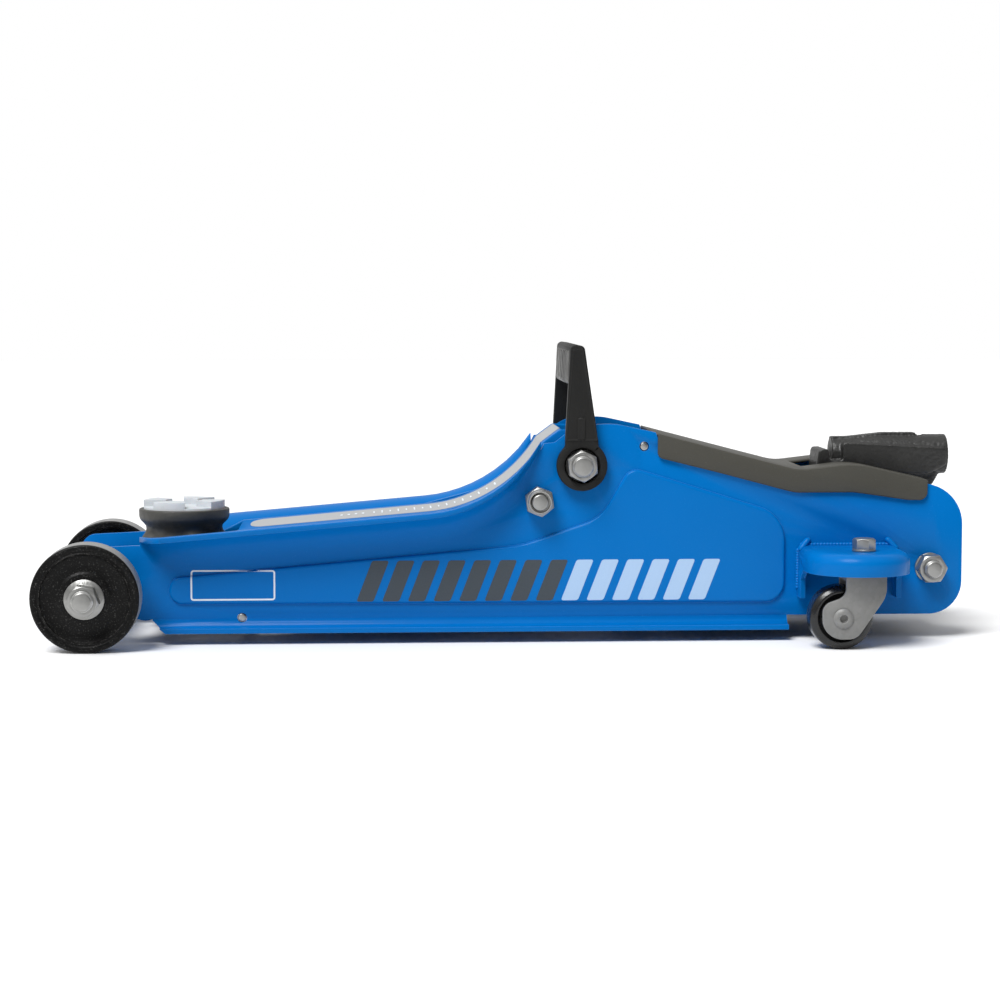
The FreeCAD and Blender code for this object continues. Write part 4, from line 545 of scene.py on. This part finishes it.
def cheeks(pivot, outer, top):
    """A raised cheek on each leg, with a rim round a shallow panel."""
    work = bmesh.new()
    foot = 15.2 * MM
    head = top - pivot.z - 2.2 * MM
    places = {
        (-1, -1): (-9.7 * MM, foot), (1, -1): (9.3 * MM, foot),
        (-1, 1): (-5.6 * MM, head), (1, 1): (0.4 * MM, head),
    }
    for outward in (-1, 1):
        made = bmesh.ops.create_grid(work, x_segments=1, y_segments=1, size=1)["verts"]
        for vert in made:
            across, up = places[(round(vert.co.x), round(vert.co.y))]
            vert.co = Vector((pivot.x + across, outward * (outer - 0.3 * MM), pivot.z + up))
        face = made[0].link_faces[0]
        made = bmesh.ops.extrude_face_region(work, geom=[face])["geom"]
        raised = [item for item in made if isinstance(item, bmesh.types.BMVert)]
        bmesh.ops.translate(work, verts=raised, vec=(0, outward * 1.2 * MM, 0))
        front = [item for item in made if isinstance(item, bmesh.types.BMFace)]
        bmesh.ops.inset_region(work, faces=front, thickness=1.3 * MM, depth=0)
        middle = {vert for face in front for vert in face.verts}
        bmesh.ops.translate(work, verts=list(middle), vec=(0, -outward * 0.45 * MM, 0))
    show(clean(work), "carry_handle_cheeks", "carry_handle", "black_plastic", rounding=0.35 * MM, steps=2)


def ribs(pivot, outer):
    """An upright rib at the foot of each leg, with a bump at both of its ends."""
    work = bmesh.new()
    x = pivot.x - 0.6 * MM
    bumps = (16.5 * MM, 28 * MM)
    for outward in (-1, 1):
        for up in bumps:
            at = Vector((x, outward * (outer + 0.35 * MM), pivot.z + up))
            blob(work, at, (2.3 * MM, 0.8 * MM, 1.2 * MM))
        place = Matrix.Translation((x, outward * (outer + 0.2 * MM), pivot.z + 22.3 * MM))
        size = Matrix.Diagonal((4.4 * MM, 1.8 * MM, 12 * MM, 1))
        bmesh.ops.create_cube(work, size=1, matrix=place @ size)
    show(clean(work), "carry_handle_ribs", "carry_handle", "black_plastic", rounding=0.5 * MM, steps=2)


def grip(pivot, outer, top):
    """Broad scallops across the front of the grip, that hang a little below it."""
    work = bmesh.new()
    slope = Vector((3.0, 0, 57.5)).normalized()
    foot = Vector((pivot.x - 6 * MM, 0, top - 20.5 * MM))
    head = foot + slope * 15.5 * MM
    radius = 3.1 * MM
    widening = 1.9
    count = 7
    reach = outer - 13 * MM
    for step in range(count):
        y = -reach + 2 * reach * step / (count - 1)
        scallop = bmesh.new()
        bar(scallop, foot, head, radius, 24)
        blob(scallop, head, (radius, radius, 2.2 * MM))
        blob(scallop, foot, (radius, radius, 3.6 * MM))
        for vert in scallop.verts:
            vert.co.y = y + vert.co.y * widening
        join(work, scallop)
    show(work, "carry_handle_grip", "carry_handle", "black_plastic", grip_moulding(), angle=60)


def carry_handle():
    softened("carry_handle", 0.6 * MM, 2, 30, "carry_handle_moulding")
    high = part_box("carry_handle")[1]
    pivot = middle_of("main_pivot_bolt")
    cheeks(pivot, high.y, high.z)
    ribs(pivot, high.y)
    grip(pivot, high.y, high.z)


# ---- saddle --------------------------------------------------------------------------------------


def saddle():
    """A stem, a waist with four flared feet, and a rim round the pad. Drawn 27.7 mm in radius."""
    centre = middle_of("saddle_cup")
    across = half_length("saddle_cup") / 27.7
    corners = [
        (0, 32), (8, 32), (8, 57.4), (21.5, 57.9), (22.5, 58.2), (23.2, 59.5), (23.0, 61.5), (22.6, 63.5),
        (22.8, 65.5), (23.6, 67.5), (25.2, 69.4), (26.6, 70.8), (27.3, 72.0), (27.6, 73.2), (27.7, 76.9),
        (27.4, 77.7), (26.6, 78), (25.6, 78), (25.1, 77.6), (25.0, 74.2), (24.6, 74), (0, 74),
    ]
    work = clean(turned([(r * across, z * MM) for r, z in corners], 144))
    stem, base, waist = 12 * MM, 58, 68.5
    for vert in work.verts:
        away = math.hypot(vert.co.x, vert.co.y)
        up = vert.co.z / MM
        if away < stem or up > waist:
            continue
        heading = math.atan2(vert.co.y, vert.co.x)
        lobe = max(0.0, math.cos(4 * (heading - math.radians(-70)))) ** 1.5
        flare = min(1.0, (waist - up) / 9) ** 1.3
        height = max(0.0, (up - base) / (waist - base))
        hollow = (1 - lobe) * 1.2 * math.sin(math.pi * height)
        grown = away + (4.4 * lobe * flare - hollow) * MM
        vert.co.x *= grown / away
        vert.co.y *= grown / away
    bmesh.ops.translate(work, verts=work.verts, vec=(centre.x, centre.y, 0))
    show(work, "saddle_casting", "saddle", "dark_cast", angle=45, stands_for=["saddle_cup"])
    softened("saddle_pad", 0.7 * MM, 3, 30, "saddle_pad_moulding")


# ---- springs -------------------------------------------------------------------------------------


def coil(work, start, end, radius, wire, turns, sides=8, steps=18):
    """A helical wire between two points."""
    along = Vector(end) - Vector(start)
    local = bmesh.new()
    matrix = Matrix.Translation((radius, 0, 0)) @ Matrix.Rotation(math.radians(90), 4, "X")
    ring = bmesh.ops.create_circle(local, segments=sides, radius=wire, matrix=matrix)["verts"]
    edges = list({edge for vert in ring for edge in vert.link_edges})
    total = turns * steps
    bmesh.ops.spin(
        local,
        geom=ring + edges,
        angle=math.tau * turns,
        steps=total,
        axis=(0, 0, 1),
        cent=(0, 0, 0),
        dvec=(0, 0, along.length / total),
    )
    open_edges = [edge for edge in local.edges if edge.is_boundary]
    bmesh.ops.holes_fill(local, edges=open_edges, sides=sides)
    turn = along.to_track_quat("Z", "Y").to_matrix().to_4x4()
    bmesh.ops.transform(local, matrix=Matrix.Translation(start) @ turn, verts=local.verts)
    join(work, clean(local))


def hook(work, centre, ring, wire):
    """A wire ring about an axis along Y."""
    local = bmesh.new()
    matrix = Matrix.Translation((ring, 0, 0)) @ Matrix.Rotation(math.radians(90), 4, "X")
    made = bmesh.ops.create_circle(local, segments=8, radius=wire, matrix=matrix)["verts"]
    edges = list({edge for vert in made for edge in vert.link_edges})
    bmesh.ops.spin(
        local, geom=made + edges, angle=math.tau, steps=24, axis=(0, 0, 1), cent=(0, 0, 0), use_merge=True
    )
    matrix = Matrix.Translation(centre) @ Matrix.Rotation(math.radians(90), 4, "X")
    bmesh.ops.transform(local, matrix=matrix, verts=local.verts)
    join(work, clean(local))


def springs():
    """Two tension springs that stretch between the arm and the chassis, and the pump's compression spring."""
    top_pin = middle_of("spring_anchor_rod")
    low_pin = middle_of("ram_pin")
    for label, _ in SIDES:
        node = "return_spring_" + label
        y = middle_of(node).y
        top = Vector((top_pin.x, y, top_pin.z))
        foot = Vector((low_pin.x, y, low_pin.z))
        along = (top - foot).normalized()
        work = bmesh.new()
        hook(work, foot, 6.3 * MM, 0.95 * MM)
        hook(work, top, 3.8 * MM, 0.95 * MM)
        coil(work, foot + along * 6.6 * MM, top - along * 4.1 * MM, 3.5 * MM, 0.85 * MM, 17)
        span = ("lift_arm", "chassis", foot + along * 7 * MM, top - along * 4.5 * MM)
        show(work, node + "_coil", None, "spring_steel", angle=60, stands_for=[node], span=span)
    low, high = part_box("pump_spring")
    centre = middle_of("pump_spring")
    work = bmesh.new()
    start = Vector((centre.x, centre.y, low.z + 0.9 * MM))
    end = Vector((centre.x, centre.y, high.z - 0.9 * MM))
    coil(work, start, end, 8.8 * MM, 0.9 * MM, 5)
    span = ("chassis", "pump_plunger", start, end)
    show(work, "pump_spring_coil", None, "spring_steel", angle=60, stands_for=["pump_spring"], span=span)


# ---- welds on the castor brackets ----------------------------------------------------------------


def welds(label, outward):
    """Rows of overlapping beads where a castor bracket meets its side plate."""
    bracket = "castor_bracket_" + label
    centre = middle_of(bracket)
    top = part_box(bracket)[1].z
    plate_face = 46 * MM
    work = bmesh.new()

    def bead(x, out, z, size, turn=Matrix.Identity(4)):
        at = Vector((x, outward * (plate_face + out * MM), z))
        blob(work, at, [length * MM for length in size], turn)

    for end in (-1, 1):
        edge = centre.x + end * (half_length(bracket) - 2.2 * MM)
        lean = Matrix.Rotation(math.radians(35 * end), 4, "Y")
        # a short fillet up the corner
        for step in range(7):
            share = step / 6
            x = edge - end * 3.4 * share * MM
            bead(x, 2.6 - 1.6 * share, top + (3.9 * share - 1.4) * MM, (2.7, 2.3, 1.9), lean)
        # a row down the outside of the gusset
        for step in range(15):
            bead(edge + end * 1.9 * MM, 0.9, top - (3 + 1.6 * step) * MM, (1.5, 1.4, 1.25))
    # a row along the top
    for step in range(-14, 15):
        bead(centre.x + step * 2 * MM, 0.8, top + 0.3 * MM, (1.5, 1.3, 1.3))
    show(work, "castor_weld_" + label, "chassis", "blue_paint", angle=60)


# ---- printed marks -------------------------------------------------------------------------------


def surface(node):
    """A tree of a CAD node's faces, to lay films on."""
    source = bmesh.new()
    source.from_mesh(frame["nodes"][node].data)
    found = BVHTree.FromBMesh(source)
    source.free()
    return found


def film(corners, outward, ground, thick, radius, hollow=0.0):
    """A film on a plate from (x, z) corners in mm, rounded, and hollow inside a border where one is given."""
    work = bmesh.new()
    clear = 0.1
    points = [work.verts.new((x * MM, outward * clear, z * MM)) for x, z in corners]
    work.faces.new(points)
    bmesh.ops.bevel(
        work, geom=points, offset=radius * MM, affect="VERTICES", segments=5, profile=0.5, material=-1
    )
    if hollow:
        work.normal_update()
        middle = work.faces[:]
        bmesh.ops.inset_region(work, faces=middle, thickness=hollow * MM, depth=0, use_boundary=True)
        bmesh.ops.delete(work, geom=middle, context="FACES")
        sides = [edge for edge in work.edges if edge.calc_length() > 5 * MM]
        bmesh.ops.subdivide_edges(work, edges=sides, cuts=24, use_grid_fill=True)
    sink = 0.02 * MM
    for vert in work.verts:
        hit = ground.ray_cast(vert.co, Vector((0, -outward, 0)))
        vert.co.y = hit[0].y - outward * sink
    made = bmesh.ops.extrude_face_region(work, geom=work.faces[:])["geom"]
    lifted = [item for item in made if isinstance(item, bmesh.types.BMVert)]
    bmesh.ops.translate(work, verts=lifted, vec=(0, outward * thick, 0))
    return clean(work)


def plate_marks(label, outward):
    """Slanted bars in two colours and a blank outlined panel. Places are in mm."""
    ground = surface("side_plate_" + label)
    thick = 0.14 * MM
    low, high = 25.0, 49.6
    wide, lean, pitch = 10.2, 9.5, 15.4
    for ink, first, count in (("slate", -89.0, 8), ("pale", 34.2, 6)):
        work = bmesh.new()
        for step in range(count):
            x = first + pitch * step
            corners = [(x, low), (x + wide, low), (x + wide + lean, high), (x + lean, high)]
            join(work, film(corners, outward, ground, thick, 1.4))
        show(work, f"plate_bars_{ink}_{label}", "chassis", "blue_paint", INK[ink], angle=40)
    corners = [(-188, 26.2), (-137.5, 26.2), (-137.5, 44.4), (-188, 44.4)]
    badge = film(corners, outward, ground, thick, 1.8, 1.0)
    show(badge, "plate_badge_" + label, "chassis", "blue_paint", INK["white"], angle=40)


def arm_strip():
    """The scale along the top of the arm: a film with plain tick marks, laid on the arm's own surface."""
    ground = surface("lift_arm")
    above = 0.3

    def drop(x, y, lift):
        hit = ground.ray_cast(Vector((x, y, above)), Vector((0, 0, -1)))
        return hit[0] + hit[1] * lift

    half = 25 * MM
    start, end = -154 * MM, 35 * MM
    round_end = 9 * MM
    work = bmesh.new()
    made = bmesh.ops.create_grid(work, x_segments=240, y_segments=14, size=1)["verts"]
    for vert in made:
        along = (vert.co.x + 1) / 2
        across = vert.co.y
        nose = round_end * (1 - math.sqrt(1 - (abs(across) * 0.98) ** 2.6))
        x = start + nose + (end - start - nose) * along
        vert.co = drop(x, across * half, 0.18 * MM)
    bmesh.ops.recalc_face_normals(work, faces=work.faces)
    bmesh.ops.solidify(work, geom=work.faces[:], thickness=0.1 * MM)
    show(work, "arm_scale_film", "lift_arm", "blue_paint", INK["strip"], angle=50)
    work = bmesh.new()
    ticks = [(-78 + 5.0 * step, 0.9, 16 if step % 2 else 10) for step in range(16)]
    ticks += [(-98 + 4.4 * step, 1.5, 7) for step in range(4)]
    for x, wide, long in ticks:
        cell = bmesh.ops.create_grid(work, x_segments=1, y_segments=4, size=1)["verts"]
        for vert in cell:
            vert.co = drop((x + vert.co.x * wide / 2) * MM, vert.co.y * long / 2 * MM, 0.4 * MM)
    bmesh.ops.recalc_face_normals(work, faces=work.faces)
    bmesh.ops.solidify(work, geom=work.faces[:], thickness=0.12 * MM)
    show(work, "arm_scale_ticks", "lift_arm", "blue_paint", INK["white"], angle=50)


# ---- handle socket -------------------------------------------------------------------------------


def handle_socket():
    """The cast socket, with the soft edges and skin of a sand casting."""
    work = copied("handle_socket")
    item = show(work, "handle_socket_casting", "handle_socket", "black_paint", stands_for=["handle_socket"])
    item.modifiers.new("skin", "REMESH").voxel_size = 0.6 * MM
    item.modifiers["skin"].use_smooth_shade = True
    smooth = item.modifiers.new("softening", "SMOOTH")
    smooth.iterations = 3
    grain = bpy.data.textures.new("casting_grain", "CLOUDS")
    grain.noise_scale = 1.6 * MM
    displace = item.modifiers.new("grain", "DISPLACE")
    displace.texture = grain
    displace.strength = 0.35 * MM


# ---- the whole jack ------------------------------------------------------------------------------

# how far the edges of each are rounded, in mm
ROUNDED = {
    "side_plate_left": 0.55, "side_plate_right": 0.55, "lift_arm": 0.8, "castor_bracket_left": 0.6,
    "castor_bracket_right": 0.6, "castor_fork_left": 0.45, "castor_fork_right": 0.45, "rear_cover": 0.8,
    "saddle_yoke": 0.8, "hydraulic_block": 1.0, "radius_rod_left": 0.4, "radius_rod_right": 0.4,
    "front_axle_nuts": 0.3, "main_pivot_nuts": 0.3, "link_anchor_nuts": 0.3, "rear_tie_nuts": 0.3,
    "rear_tie_washers": 0.3, "castor_bolts": 0.25, "castor_washers": 0.25, "gland_nut": 0.4, "ram": 0.4,
    "main_pivot_bolt": 0.3, "link_anchor_bolts": 0.3, "rear_tie_bolt": 0.3, "front_axle": 0.3,
    "front_stay_pin": 0.25, "spring_anchor_rod": 0.25, "castor_axle_left": 0.25, "castor_axle_right": 0.25,
    "filler_plug": 0.4, "release_valve": 0.4,
}

for node, rounding in ROUNDED.items():
    softened(node, rounding * MM)
for label, outward in SIDES:
    front_wheel(label, outward)
    castor_wheel(label, outward)
    welds(label, outward)
    plate_marks(label, outward)
for bolt, nut in (
    ("main_pivot_bolt", "main_pivot_nuts"),
    ("link_anchor_bolts", "link_anchor_nuts"),
    ("rear_tie_bolt", "rear_tie_nuts"),
    ("front_axle", "front_axle_nuts"),
):
    thread(bolt, nut)
carry_handle()
saddle()
springs()
arm_strip()
handle_socket()

for node, item in frame["nodes"].items():
    slots = item.material_slots
    if not slots:
        item.data.materials.append(FINISHES[SLOT_OF[node]])
    for place in slots:
        place.material = FINISHES[SLOT_OF[node]]


# ---- studio --------------------------------------------------------------------------------------


def floor():
    mesh = bpy.data.meshes.new("studio_floor")
    work = bmesh.new()
    bmesh.ops.create_grid(work, x_segments=1, y_segments=1, size=6)
    work.to_mesh(mesh)
    work.free()
    finish = Finish("studio_floor", Roughness=0.9, Specular_IOR_Level=0.1)
    finish.feed("Base Color", finish.blend(finish.noise(2), (0.93, 0.93, 0.93), (0.95, 0.95, 0.95)))
    mesh.materials.append(finish.material)
    item = bpy.data.objects.new("studio_floor", mesh)
    bpy.context.scene.collection.objects.link(item)


def light():
    """A broad soft key from above the viewer's left, and a dome that is brighter overhead and behind."""
    data = bpy.data.lights.new("key", "SUN")
    data.energy = 3.1
    data.angle = math.radians(28)
    key = bpy.data.objects.new("key", data)
    bpy.context.scene.collection.objects.link(key)
    key.rotation_euler = Vector((0.34, 0.47, -0.82)).to_track_quat("-Z", "Y").to_euler()

    world = bpy.data.worlds.new("studio")
    world.use_nodes = True
    tree = world.node_tree
    sky = tree.nodes["Background"]
    sky.inputs["Color"].default_value = (1, 1, 1, 1)
    # the backdrop is white in view
    heading = tree.nodes.new("ShaderNodeTexCoord")
    parts = tree.nodes.new("ShaderNodeVectorMath")
    parts.operation = "DOT_PRODUCT"
    parts.inputs[1].default_value = (-0.25, 0.55, 0.80)
    level = tree.nodes.new("ShaderNodeMapRange")
    level.inputs["From Min"].default_value = -0.3
    level.inputs["To Min"].default_value = 0.03
    level.inputs["To Max"].default_value = 0.8
    path = tree.nodes.new("ShaderNodeLightPath")
    shown = tree.nodes.new("ShaderNodeMix")
    shown.inputs["B"].default_value = 1.0
    tree.links.new(heading.outputs["Generated"], parts.inputs[0])
    tree.links.new(parts.outputs["Value"], level.inputs["Value"])
    tree.links.new(level.outputs[0], shown.inputs["A"])
    tree.links.new(path.outputs["Is Camera Ray"], shown.inputs["Factor"])
    tree.links.new(shown.outputs[0], sky.inputs["Strength"])
    bpy.context.scene.world = world
    bpy.context.scene.view_settings.view_transform = "Standard"


def camera():
    data = bpy.data.cameras.new("camera")
    data.lens = 88.3
    data.sensor_width = 36
    item = bpy.data.objects.new("camera", data)
    bpy.context.scene.collection.objects.link(item)
    tilt_down, turn = 4.84, -3.127
    item.location = (-82.67 * MM, -1513.33 * MM, 210.15 * MM)
    item.rotation_euler = (math.radians(90 - tilt_down), 0, math.radians(turn))
    bpy.context.scene.camera = item


floor()
light()
camera()
